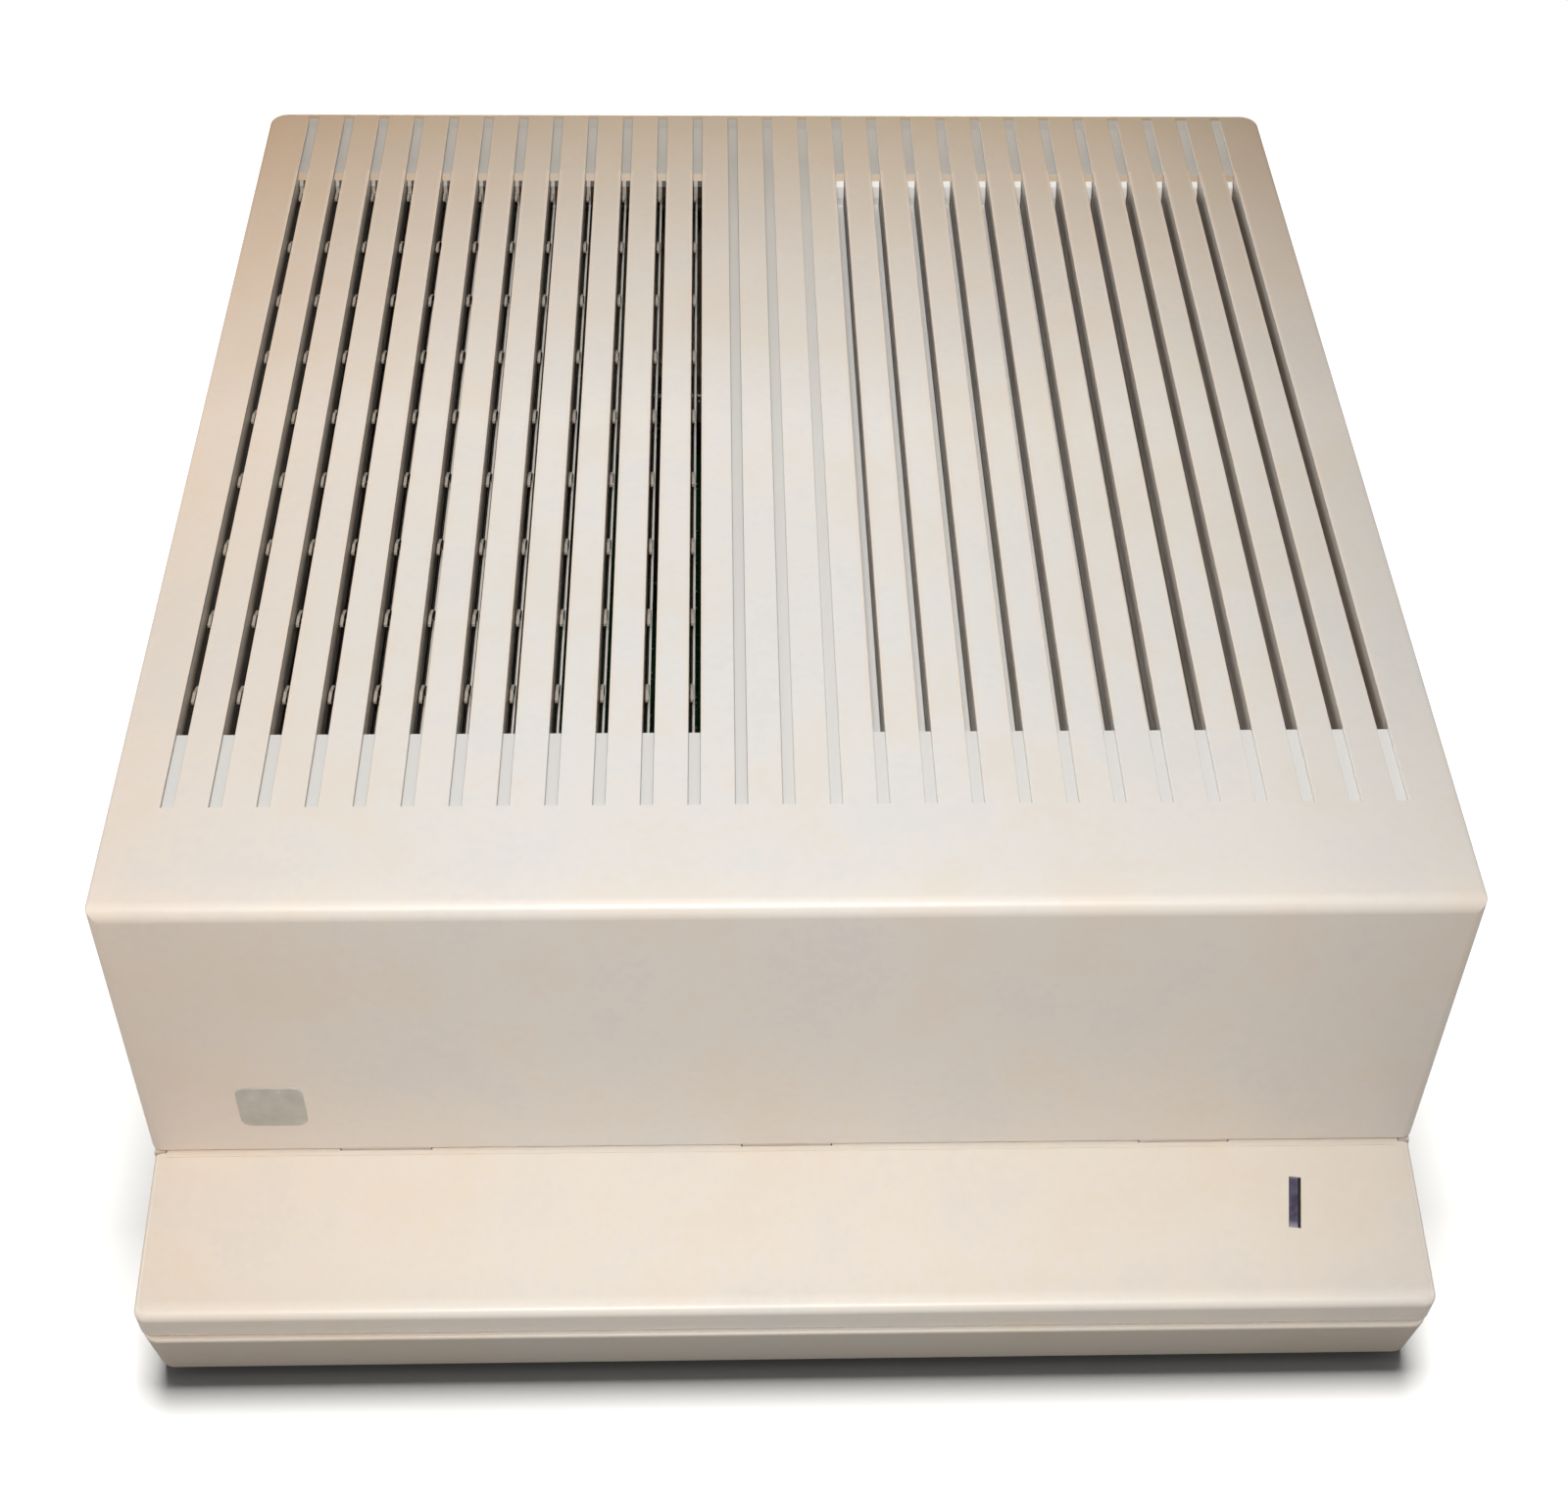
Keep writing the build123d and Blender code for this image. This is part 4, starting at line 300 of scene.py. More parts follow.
def caseAbs(tree, place, tones):
    spec = caseFinish
    x, y = addNode(tree, "SeparateXYZ", [place]).outputs[:2]
    back = addNode(tree, "MapRange", [y, *spec["back"]])
    base = addNode(tree, "ValToRGB", {"Fac": back}, stops=tones)
    over = addNode(tree, "MapRange", [x, *spec["over"]])
    yellowAndShade = addNode(tree, "ValToRGB", {"Fac": over}, stops=spec["across"])
    cloud = addNode(tree, "TexNoise", {"Vector": place, "Scale": 1000 / spec["cloudMm"], "Detail": 2.0})
    fleck = addNode(tree, "TexNoise", {"Vector": place, "Scale": 1000 / spec["fleckMm"], "Detail": 2.0})
    mixed = layered(tree, cloud, [(spec["fleckShare"], fleck)])
    colour = addNode(tree, "ValToRGB", {"Fac": mixed}, stops=spec["tints"])
    # the sides' yellowing and painted shade, weakest at the front
    share = addNode(tree, "MapRange", [y, *spec["yellowAndShadeShare"]])
    for fac, layer in ((1.0, base), (share, yellowAndShade)):
        inputs = {"Fac": fac, "Color1": colour, "Color2": layer}
        colour = addNode(tree, "MixRGB", inputs, blend_type="MULTIPLY")
    return {
        "Base Color": colour,
        "Roughness": addNode(tree, "MapRange", [cloud, *noiseSpan, *spec["roughness"]]),
        "IOR": 1.53,
        "Normal": fineGrain(tree, place, spec["grainMm"], spec["grainDepthMm"]),
    }


# the lid's grooves repeat every 10 mm: their floors are pale where no light has reached them, though
# painted a little grey and darker towards the rear as painted shade; painted shade lies in their corners,
# and on their walls a painted shade line at the left of the lid and a painted highlight line at the right;
# the slots' walls are painted darker with depth as painted shade, their floors carry painted shade, and
# a painted highlight lies beside a slot's rims
grooves = {
    "pitch": 0.01, "slotHalf": 0.00132,
    "low": (-135.6, -107.2, 116.0), "high": (135.6, 171.9, 116.83),
    "slotsFrontY": -81.5, "slotsRearY": 143.0,
    "slotsSideX": 132.6, "plainSideX": 14.0,
    "roofZ": 110.0, "aboveLid": 118.0,
    "endGap": 0.1, "rearGap": 1.5,
    "innerMm": (101.0, 116.05),
    "wallFrom": 0.6,  # how far sideways a wall faces
    "downTo": -0.5,  # how far down a face may turn
    # the groove floors' tone: painted a little grey, and darker towards the rear, as painted shade
    "floor": [(0.0, "#dfdedc"), (0.55, "#e0ddd9"), (0.84, "#cdc7bf"), (0.93, "#b9b2a9"), (1.0, "#c6beb4")],
    # painted shade on the walls at the left of the lid and in every corner; painted highlight on the walls
    # at the right
    "shadeLine": "#a8a29a", "highlightLine": "#efece8",
    # ranges, as for the case
    # how far in from a wall the corners' painted shade reaches
    "corner": (0.00108, 0.0013, 0.0, 0.75),
    "depth": (0.108, 0.1162, 0.0, 1.0),
    # how far in from a closed slot's walls its floor's painted shade reaches
    "floorEdgeShade": (0.00098, 0.00112, 0.0, 1.0),
    # where the painted highlight beside a slot's rim fades out
    "nearRim": (0.0016, 0.0024, 0.3, 0.0),
    # painted shade down the slots' walls, from near white at the rim to dark at depth
    "closedWallShade": [(0.0, "#5e4d3c"), (0.42, "#7c6a57"), (0.64, "#b0a190"), (0.84, "#f4ece2")],
    "openWallShade": [
        (0.0, "#140a02"), (0.44, "#2c1807"), (0.5, "#94806a"), (0.72, "#e2d4c4"), (0.95, "#fdf8f1"),
    ],
    "stripFrom": 0.0094, "stripTo": 0.0099,
    # an open slot's floor is painted dark as painted shade, save a pale line along the strip; the bridges'
    # tops are greyed as painted shade
    "stripPale": "#e9e4dc", "stripShade": "#2b211a",
    "bridgeAbove": 0.1092, "bridgeFrom": 0.009, "bridge": "#bdb4a8",
    # a closed slot's floor, and the painted shade along its edges
    "closedFloor": "#fdfcfa", "closedEdgeShade": "#75675a",
    # the painted highlight along the slots' rims
    "rim": "#f5dac0", "rimFootZ": 116.6,
}


def groovedAbs(tree, place, tones):
    spec = grooves
    finish = caseAbs(tree, place, tones)
    x, y, z = addNode(tree, "SeparateXYZ", [place]).outputs
    across = addNode(tree, "Math", [x, spec["pitch"]], operation="FLOORED_MODULO")
    aside = addNode(tree, "Math", [x, spec["pitch"] / 2], operation="PINGPONG")
    normal = addNode(tree, "NewGeometry").outputs["Normal"]
    facets = addNode(tree, "SeparateXYZ", [normal])
    sideways = addNode(tree, "Math", [facets.outputs["X"]], operation="ABSOLUTE")
    wall = addNode(tree, "Math", [sideways, spec["wallFrom"]], operation="GREATER_THAN")
    atRight = addNode(tree, "Math", [x, 0.0], operation="GREATER_THAN")
    front, rear, side, top = spec["slotsFrontY"], spec["slotsRearY"], spec["slotsSideX"], spec["aboveLid"]
    # the painted highlight along the rims, beside the slots only
    bySlots = insideBox(tree, place, (-side, front, spec["rimFootZ"]), (side, rear, top))
    plain = spec["plainSideX"]
    foremost = (-plain, front - marginMm, spec["roofZ"])
    middle = insideBox(tree, place, foremost, (plain, rear + marginMm, top))
    nearRim = addNode(tree, "MapRange", [aside, *spec["nearRim"]])
    rimHighlightShare = addNode(tree, "Math", [bySlots, nearRim], operation="MULTIPLY")
    rimHighlight = addNode(tree, "Math", [rimHighlightShare, middle], operation="SUBTRACT", use_clamp=True)
    # the shallow grooves: pale floors with painted shade in their corners, a painted shade line on each
    # wall at the left of the lid, and a painted highlight line on each wall at the right
    back = addNode(tree, "MapRange", [y, *caseFinish["back"]])
    pale = addNode(tree, "ValToRGB", {"Fac": back}, stops=spec["floor"])
    line = layered(tree, spec["shadeLine"], [(atRight, spec["highlightLine"])])
    corner = addNode(tree, "MapRange", [aside, *spec["corner"]])
    shallow = layered(tree, pale, [(corner, spec["shadeLine"]), (wall, line)])
    within = insideBox(tree, place, spec["low"], spec["high"])
    # painted shade: the slots' walls are painted darker downwards, near white at the rim and dark at depth
    depth = addNode(tree, "MapRange", [z, *spec["depth"]])
    openWallShade = addNode(tree, "ValToRGB", {"Fac": depth}, stops=spec["openWallShade"])
    closedWallShade = addNode(tree, "ValToRGB", {"Fac": depth}, stops=spec["closedWallShade"])
    shadedWalls = layered(tree, openWallShade, [(atRight, closedWallShade)])
    # an open slot's floor: painted dark as painted shade, with a pale line along the strip, and the
    # bridges' tops greyed as painted shade
    past = addNode(tree, "Math", [across, spec["stripFrom"]], operation="GREATER_THAN")
    before = addNode(tree, "Math", [across, spec["stripTo"]], operation="LESS_THAN")
    onLine = addNode(tree, "Math", [past, before], operation="MULTIPLY")
    high = addNode(tree, "Math", [z, spec["bridgeAbove"]], operation="GREATER_THAN")
    along = addNode(tree, "Math", [across, spec["bridgeFrom"]], operation="GREATER_THAN")
    onBridge = addNode(tree, "Math", [high, along], operation="MULTIPLY")
    strip = layered(tree, spec["stripShade"], [(onLine, spec["stripPale"]), (onBridge, spec["bridge"])])
    # a closed slot's floor: painted shade along both edges, and a pale line between them
    floorEdgeShade = addNode(tree, "MapRange", [aside, *spec["floorEdgeShade"]])
    closedFloor = layered(tree, spec["closedFloor"], [(floorEdgeShade, spec["closedEdgeShade"])])
    inSlot = layered(tree, strip, [(atRight, closedFloor), (wall, shadedWalls)])
    # only the slots' own faces: between their ends, near their middle, and not turned downwards
    foot, rim = spec["innerMm"]
    front, rear = front - spec["endGap"], rear - spec["rearGap"]
    inside = insideBox(tree, place, (-side, front, foot), (side, rear, rim))
    narrow = addNode(tree, "Math", [aside, spec["slotHalf"]], operation="LESS_THAN")
    upward = addNode(tree, "Math", [facets.outputs["Z"], spec["downTo"]], operation="GREATER_THAN")
    for mask in (narrow, upward):
        inside = addNode(tree, "Math", [inside, mask], operation="MULTIPLY")
    layers = [(rimHighlight, spec["rim"]), (within, shallow), (inside, inSlot)]
    finish["Base Color"] = layered(tree, finish["Base Color"], layers)
    return finish


def mouldedPlastic(tree, place, spec):
    # any smaller moulding: nearly even colour, soft clouds in its shine, and the tool's fine grain
    cloud = addNode(tree, "TexNoise", {"Vector": place, "Scale": 1000 / spec["cloudMm"], "Detail": 4.0})
    return {
        "Base Color": addNode(tree, "ValToRGB", {"Fac": cloud}, stops=spec["tones"]),
        "Roughness": addNode(tree, "MapRange", [cloud, *noiseSpan, *spec["roughness"]]),
        "IOR": spec["ior"],
        "Normal": fineGrain(tree, place, spec["grainMm"], spec["depthMm"]),
    }


metalLines = {"cloudShare": 0.5, "span": (0.35, 0.65), "strength": 0.3, "depth": 0.00002}


def rolledMetal(tree, place, spec):
    # sheet, drawn or turned metal: fine lines along one axis, and an uneven shine
    along = addNode(tree, "Mapping", {"Vector": place, "Scale": [1000 / mm for mm in spec["linesMm"]]})
    lines = addNode(tree, "TexNoise", {"Vector": along, "Scale": 1.0, "Detail": 3.0})
    cloud = addNode(tree, "TexNoise", {"Vector": place, "Scale": 1000 / spec["cloudMm"], "Detail": 3.0})
    both = layered(tree, lines, [(metalLines["cloudShare"], cloud)])
    bump = {"Height": lines, "Strength": metalLines["strength"], "Distance": metalLines["depth"]}
    return {
        "Base Color": addNode(tree, "ValToRGB", {"Fac": both}, stops=spec["tones"]),
        "Metallic": 1.0,
        "Roughness": addNode(tree, "MapRange", [both, *metalLines["span"], *spec["roughness"]]),
        "Normal": addNode(tree, "Bump", bump),
    }


def spangledZinc(tree, place, spec):
    # hot-dipped galvanised steel: flat crystals, each with its own tone and shine
    cells = addNode(tree, "TexVoronoi", {"Vector": place, "Scale": 1000 / spec["spangleMm"]})
    facets = addNode(tree, "SeparateColor", [cells.outputs["Color"]])
    return {
        "Base Color": addNode(tree, "ValToRGB", {"Fac": facets.outputs[0]}, stops=spec["tones"]),
        "Metallic": 1.0,
        "Roughness": addNode(tree, "MapRange", [facets.outputs[1], 0.0, 1.0, *spec["roughness"]]),
        "Normal": fineGrain(tree, place, spec["grainMm"], spec["depthMm"], strength=0.3),
    }


def gridCells(tree, place, cellMm):
    # where a point lies in its cell of a grid, and a random value for that cell; an axis of 0 has no cells
    steps = [1000 / mm if mm else 0.0 for mm in cellMm]
    cells = addNode(tree, "VectorMath", [place, steps], operation="MULTIPLY")
    index = addNode(tree, "VectorMath", [cells], operation="FLOOR")
    within = addNode(tree, "VectorMath", [cells], operation="FRACTION")
    return within, addNode(tree, "TexWhiteNoise", {"Vector": index}, noise_dimensions="3D")


def copperLines(tree, place, cellMm, halfWidth, share):
    # tracks that run for some cells and then stop
    within, laid = gridCells(tree, place, cellMm)
    off = addNode(tree, "VectorMath", [within, (0.5, 0.5, 0.5)], operation="SUBTRACT")
    far = addNode(tree, "VectorMath", [off], operation="ABSOLUTE")
    narrow = addNode(tree, "SeparateXYZ", [far]).outputs["X" if cellMm[0] < cellMm[1] else "Y"]
    line = addNode(tree, "Math", [narrow, halfWidth], operation="LESS_THAN")
    there = addNode(tree, "Math", [laid, share], operation="LESS_THAN")
    return addNode(tree, "Math", [line, there], operation="MULTIPLY")


# what every board shares: its tracks along and across, and tinned pads on a grid of a tenth of an inch
boardSpec = {
    "tracks": [((1.27, 19.0, 50.0), 0.2, 0.42), ((23.0, 1.9, 50.0), 0.15, 0.3)],  # cell, half width, share
    "gridMm": (2.54, 2.54, 0.0),
    "padRadius": 0.26,  # in steps of the grid
    "riseMm": 0.05,
}


def printedBoard(tree, place, spec):
    # laminate under a solder mask, with tracks showing through it and tinned pads in it
    weave = addNode(tree, "TexNoise", {"Vector": place, "Scale": 1000 / spec["weaveMm"], "Detail": 3.0})
    mask = addNode(tree, "ValToRGB", {"Fac": weave}, stops=spec["maskTones"])
    down, across = [copperLines(tree, place, *track) for track in boardSpec["tracks"]]
    either = addNode(tree, "Math", [down, across], operation="MAXIMUM")
    within, drilled = gridCells(tree, place, boardSpec["gridMm"])
    away = addNode(tree, "VectorMath", [within, (0.5, 0.5, 0.0)], operation="DISTANCE")
    away = away.outputs["Value"]
    ring = addNode(tree, "Math", [away, boardSpec["padRadius"]], operation="LESS_THAN")
    some = addNode(tree, "Math", [drilled, spec["padShare"]], operation="LESS_THAN")
    pad = addNode(tree, "Math", [ring, some], operation="MULTIPLY")
    raised = addNode(tree, "Math", [either, pad], operation="MAXIMUM")
    rise = {"Height": raised, "Strength": 0.5, "Distance": boardSpec["riseMm"] / 1000}
    return {
        "Base Color": layered(tree, mask, [(either, spec["trackTone"]), (pad, spec["padTone"])]),
        "Metallic": pad,
        "Roughness": 0.32,
        "Normal": addNode(tree, "Bump", rise),
    }


# ABS in three batches, each from the front to the rear: the lid the palest, the ledge and the pan warmer;
# the lid's tones are also painted paler in the middle and darker at the rear, as painted light and shade
coverTonesAndLight = [
    (0.1, "#efe6dd"), (0.14, "#e7e2dd"), (0.35, "#e9e6e2"), (0.58, "#f3ede6"),
    (0.78, "#e3d7ca"), (0.93, "#cfbba4"), (1.0, "#c1a887"),
]
# the ledge's nose is painted paler than the ledge behind it, as a painted highlight
ledgeTonesAndHighlight = [(0.0, "#f6eee5"), (0.012, "#e2d9cf"), (0.11, "#e8dfd4")]
# the pan's tones are set a little darker, as painted shade
panTonesAndShade = [(0.0, "#d6cdc2"), (0.6, "#ded3c6"), (1.0, "#d2c0aa")]
dress(["top_cover"], "coverAbs", groovedAbs, coverTonesAndLight)
dress(["cover_latch_left", "cover_latch_right", "expansion_covers"], "latchAbs", caseAbs, coverTonesAndLight)
dress(["front_ledge"], "ledgeAbs", caseAbs, ledgeTonesAndHighlight)
dress(["base_pan"], "panAbs", caseAbs, panTonesAndShade)

# acrylic moulding with a satin face: a plain pale plate, a little shinier than the panel
dress(["badge_plate"], "satinBadge", mouldedPlastic, {
    "cloudMm": 5.0, "tones": [(0.3, "#b9b3aa"), (0.7, "#cbc6be")],
    "roughness": (0.2, 0.28), "ior": 1.49, "grainMm": 0.4, "depthMm": 0.01,
})
# natural rubber filled with carbon: nearly black, dull, with a bloom of dust
dress(["rubber_feet"], "feetRubber", mouldedPlastic, {
    "cloudMm": 3.0, "tones": [(0.35, "#1d1c1b"), (0.65, "#2b2a28")],
    "roughness": (0.75, 0.9), "ior": 1.52, "grainMm": 0.4, "depthMm": 0.03,
})
# zinc-plated steel: bright, slightly blue, worn unevenly by the driver
dress(["pan_screws", "board_screws", "jack_screws"], "zincPlatedSteel", rolledMetal, {
    "linesMm": (1.5, 1.5, 0.6), "cloudMm": 1.6,
    "tones": [(0.35, "#a7a9a8"), (0.65, "#cfd0cc")], "roughness": (0.22, 0.42),
})
# hot-dipped galvanised sheet: grey crystals a few millimetres across
dress(["supply_case", "supply_cover"], "galvanisedSheet", spangledZinc, {
    "spangleMm": 5.0, "grainMm": 0.8, "depthMm": 0.02,
    "tones": [(0.0, "#a3a6a6"), (1.0, "#c3c5c3")], "roughness": (0.28, 0.5),
})
# mill-finish aluminium: soft grey with lines from the die, used for the rivets and the fins
dress(["supply_rivets", "supply_heatsinks"], "millAluminium", rolledMetal, {
    "linesMm": (0.6, 0.6, 14.0), "cloudMm": 5.0,
    "tones": [(0.35, "#a6a7a6"), (0.65, "#c8c8c5")], "roughness": (0.3, 0.48),
})
# tinned steel sheet: whiter than zinc, smeared by the rolls
dress(["port_shield"], "tinPlate", rolledMetal, {
    "linesMm": (18.0, 1.0, 0.5), "cloudMm": 9.0,
    "tones": [(0.35, "#b3b3ae"), (0.65, "#d2d1ca")], "roughness": (0.25, 0.4),
})
# nickel-plated brass pins: hard and bright with a warm cast
dress(["mains_pins"], "nickelPins", rolledMetal, {
    "linesMm": (0.3, 6.0, 0.3), "cloudMm": 2.0,
    "tones": [(0.35, "#b9b3a4"), (0.65, "#d6d0c2")], "roughness": (0.18, 0.3),
})
blackMoulding = {
    "cloudMm": 5.0, "tones": [(0.35, "#1a1a1b"), (0.65, "#242425")],
    "roughness": (0.3, 0.42), "ior": 1.57, "grainMm": 0.35, "depthMm": 0.015,
}
# PBT, black: a tight satin gloss over a fine grain
dress(["mains_inlet", "switch_frame", "power_rocker"], "blackPbt", mouldedPlastic, blackMoulding)
# card connectors: glass-filled PBT, dark brown-black with pale fibre swirls
connectors = ["card_connector_" + str(i) for i in range(1, 8)] + ["memory_connector"]
dress(connectors, "connectorPbt", mouldedPlastic, {
    "cloudMm": 2.2, "tones": [(0.3, "#221d1a"), (0.7, "#352e29")],
    "roughness": (0.42, 0.56), "ior": 1.57, "grainMm": 0.4, "depthMm": 0.02,
})
# transfer-moulded epoxy with silica: charcoal and matt, as a chip's body is
chips = ["processor", "rom_chips", "memory_chips", "logic_chips", "custom_chips"]
dress(chips, "chipEpoxy", mouldedPlastic, {
    "cloudMm": 3.0, "tones": [(0.3, "#1f1f20"), (0.7, "#2c2c2d")],
    "roughness": (0.48, 0.62), "ior": 1.55, "grainMm": 0.25, "depthMm": 0.012,
})
# nylon, undyed: milky, waxy and a little yellow
plugs = ["power_header", "harness_plug", "lead_headers", "lead_plugs"]
dress(plugs, "whiteNylon", mouldedPlastic, {
    "cloudMm": 4.0, "tones": [(0.35, "#dfd9c8"), (0.65, "#ebe7dc")],
    "roughness": (0.36, 0.48), "ior": 1.53, "grainMm": 0.5, "depthMm": 0.01,
})
# a board of glass laminate under green solder mask
dress(["logic_board"], "solderMaskBoard", printedBoard, {
    "weaveMm": 1.2, "maskTones": [(0.3, "#14492c"), (0.7, "#1b5836")],
    "trackTone": "#2b6f45",
    "padShare": 0.2, "padTone": "#c7c2b0",
})
# the supply's board: bare phenolic paper, brown and waxy
dress(["supply_board"], "phenolicBoard", printedBoard, {
    "weaveMm": 3.0, "maskTones": [(0.3, "#7d5a34"), (0.7, "#926c42")],
    "trackTone": "#86613a",
    "padShare": 0.12, "padTone": "#c2bcae",
})


# the power light's window: a narrow bar, turned a little in the ledge
windowSpec = {
    "middle": (0.11335, -0.14921, 0.0306),
    "across": (0.991, -0.136, 0.0),
    "along": (0.136, 0.991, 0.0),
    "edgeFrom": 0.00072,
    "endsFrom": 0.005, "endsTo": 0.0062,
    "hazeScale": 420.0,
    "tones": [(0.3, "#35314a"), (0.7, "#5a5570")],
    # the right strip is painted near black as the painted shade of a gap
    "edge": "#100e12", "ends": "#8f8a98",
}


def smokedAcrylic(tree, place, spec):
    # cast acrylic dyed smoke-violet: deep and glossy, with paler ends, and a strip on its right painted
    # near black as the painted shade of a gap
    haze = addNode(tree, "TexNoise", {"Vector": place, "Scale": spec["hazeScale"], "Detail": 3.0})
    base = addNode(tree, "ValToRGB", {"Fac": haze}, stops=spec["tones"])
    off = addNode(tree, "VectorMath", [place, spec["middle"]], operation="SUBTRACT")
    across, along = [
        addNode(tree, "VectorMath", [off, spec[way]], operation="DOT_PRODUCT").outputs["Value"]
        for way in ("across", "along")
    ]
    far = addNode(tree, "Math", [along], operation="ABSOLUTE")
    atEnds = addNode(tree, "MapRange", [far, spec["endsFrom"], spec["endsTo"]])
    inGapShade = addNode(tree, "Math", [across, spec["edgeFrom"]], operation="GREATER_THAN")
    return {
        "Base Color": layered(tree, base, [(atEnds, spec["ends"]), (inGapShade, spec["edge"])]),
        "Roughness": 0.14,
        "IOR": 1.49,
        "Coat Weight": 0.3,
        "Normal": fineGrain(tree, place, grainMm=2.5, depthMm=0.004, strength=0.3),
    }


dress(["power_light_window"], "smokedAcrylic", smokedAcrylic, windowSpec)

lensSpec = {"hazeScale": 900.0, "tones": [(0.3, "#a0211b"), (0.7, "#c23a2c")]}


def dyedEpoxy(tree, place, spec):
    # a lamp's lens: cast epoxy, dyed and diffused, soft red all through
    haze = addNode(tree, "TexNoise", {"Vector": place, "Scale": spec["hazeScale"], "Detail": 2.0})
    return {
        "Base Color": addNode(tree, "ValToRGB", {"Fac": haze}, stops=spec["tones"]),
        "Roughness": 0.22,
        "IOR": 1.55,
        "Subsurface Weight": 0.4,
        "Subsurface Scale": 0.002,
        "Normal": fineGrain(tree, place, grainMm=0.6, depthMm=0.004, strength=0.2),
    }


dress(["power_lamp"], "redEpoxyLens", dyedEpoxy, lensSpec)

transformerSpec = {
    "tape": [(0.2, "#a8812b"), (0.8, "#c79f3e")], "tapeScale": 55.0,
    "steel": [(0.2, "#3c3a38"), (0.8, "#7b7873")], "sheetScale": 320.0,
    "coreHalfMm": 6.1, "tapeRise": 0.0002,
}


def woundTransformer(tree, place, spec):
    # a laminated steel core showing through a coil under yellow polyester tape
    low, high = grownMm("supply_transformer")
    middle = (low[1] + high[1]) / 2
    inputs = {"Vector": place, "Scale": spec["tapeScale"], "Distortion": 0.6}
    turns = addNode(tree, "TexWave", inputs, bands_direction="Z").outputs["Fac"]
    inputs = {"Vector": place, "Scale": spec["sheetScale"]}
    sheets = addNode(tree, "TexWave", inputs, bands_direction="Y").outputs["Fac"]
    low[1], high[1] = middle - spec["coreHalfMm"], middle + spec["coreHalfMm"]
    tape = {
        "Base Color": addNode(tree, "ValToRGB", {"Fac": turns}, stops=spec["tape"]),
        "Roughness": 0.35,
        "Normal": addNode(tree, "Bump", {"Height": turns, "Strength": 0.4, "Distance": spec["tapeRise"]}),
    }
    steel = addNode(tree, "ValToRGB", {"Fac": sheets}, stops=spec["steel"])
    core = {"Base Color": steel, "Metallic": 0.8, "Roughness": 0.45}
    return joinFinishes(tree, insideBox(tree, place, low, high), tape, core)


dress(["supply_transformer"], "woundTransformer", woundTransformer, transformerSpec)

canSpec = {"cloudScale": 160.0, "brushedScale": 1400.0, "lid": [(0.3, "#a9a9a6"), (0.7, "#cccbc6")]}


def sleevedCans(tree, place, spec):
    # electrolytic capacitors: shrunk PVC sleeves, with a bare aluminium lid inside each sleeve's lip
    low, high = grownMm(spec["node"])
    low[2] = high[2] - marginMm - spec["lidMm"]
    cloud = addNode(tree, "TexNoise", {"Vector": place, "Scale": canSpec["cloudScale"], "Detail": 2.0})
    brushed = addNode(tree, "TexNoise", {"Vector": place, "Scale": canSpec["brushedScale"], "Detail": 2.0})
    sleeve = {
        "Base Color": addNode(tree, "ValToRGB", {"Fac": cloud}, stops=spec["sleeve"]),
        "Roughness": 0.3,
        "Normal": fineGrain(tree, place, grainMm=1.2, depthMm=0.02, strength=0.2),
    }
    lid = {
        "Base Color": addNode(tree, "ValToRGB", {"Fac": brushed}, stops=canSpec["lid"]),
        "Metallic": 1.0,
        "Roughness": 0.35,
    }
    return joinFinishes(tree, insideBox(tree, place, low, high), sleeve, lid)


for node, name, lidMm, tones in (
    ("supply_capacitors", "supplyCanSleeve", 0.35, [(0.3, "#22304f"), (0.7, "#2c3c60")]),
    ("board_capacitors", "boardCanSleeve", 0.2, [(0.3, "#1f1f22"), (0.7, "#2b2b2f")]),
):
    dress([node], name, sleevedCans, {"node": node, "lidMm": lidMm, "sleeve": tones})

cellSpec = {
    "strapMm": 1.4,
    "sleeve": {
        "cloudMm": 6.0,
        "tones": [(0.35, "#39415c"), (0.65, "#475172")],
        "roughness": (0.28, 0.38), "ior": 1.5, "grainMm": 0.8, "depthMm": 0.01,
    },
    "nickel": {
        "linesMm": (1.0, 1.0, 4.0), "cloudMm": 3.0,
        "tones": [(0.35, "#aeaaa0"), (0.65, "#cdc9be")],
        "roughness": (0.22, 0.36),
    },
}


def strappedCell(tree, place, spec):
    # a plain dark sleeve round the cell, and nickel on its ends and on the straps that hold it
    low, high = grownMm("clock_battery")
    inset = marginMm + spec["strapMm"]
    low[0], high[0] = low[0] + inset, high[0] - inset
    sleeve, nickel = mouldedPlastic(tree, place, spec["sleeve"]), rolledMetal(tree, place, spec["nickel"])
    return joinFinishes(tree, insideBox(tree, place, low, high), nickel, sleeve)


dress(["clock_battery"], "sleevedCell", strappedCell, cellSpec)

# the ports: nickel-plated shells and flanges round black inserts, on black bodies
portSpec = {
    "height": 19.55,  # the middle of every port
    "shieldY": 162.7,
    "shellHalf": 3.5,  # half the height inside a shell
    "shellLean": math.tan(math.radians(10)),
    "flange": 7.95,  # from a flange's end to the inside of its shell
    "insertY": 169.3,
    "ringInside": 3.8, "barrelInside": 3.2, "jackInside": 2.2,
}
brightNickel = {
    "linesMm": (4.0, 1.0, 0.8), "cloudMm": 3.0,
    "tones": [(0.35, "#a9a69e"), (0.65, "#c9c6bd")],
    "roughness": (0.2, 0.36),
}


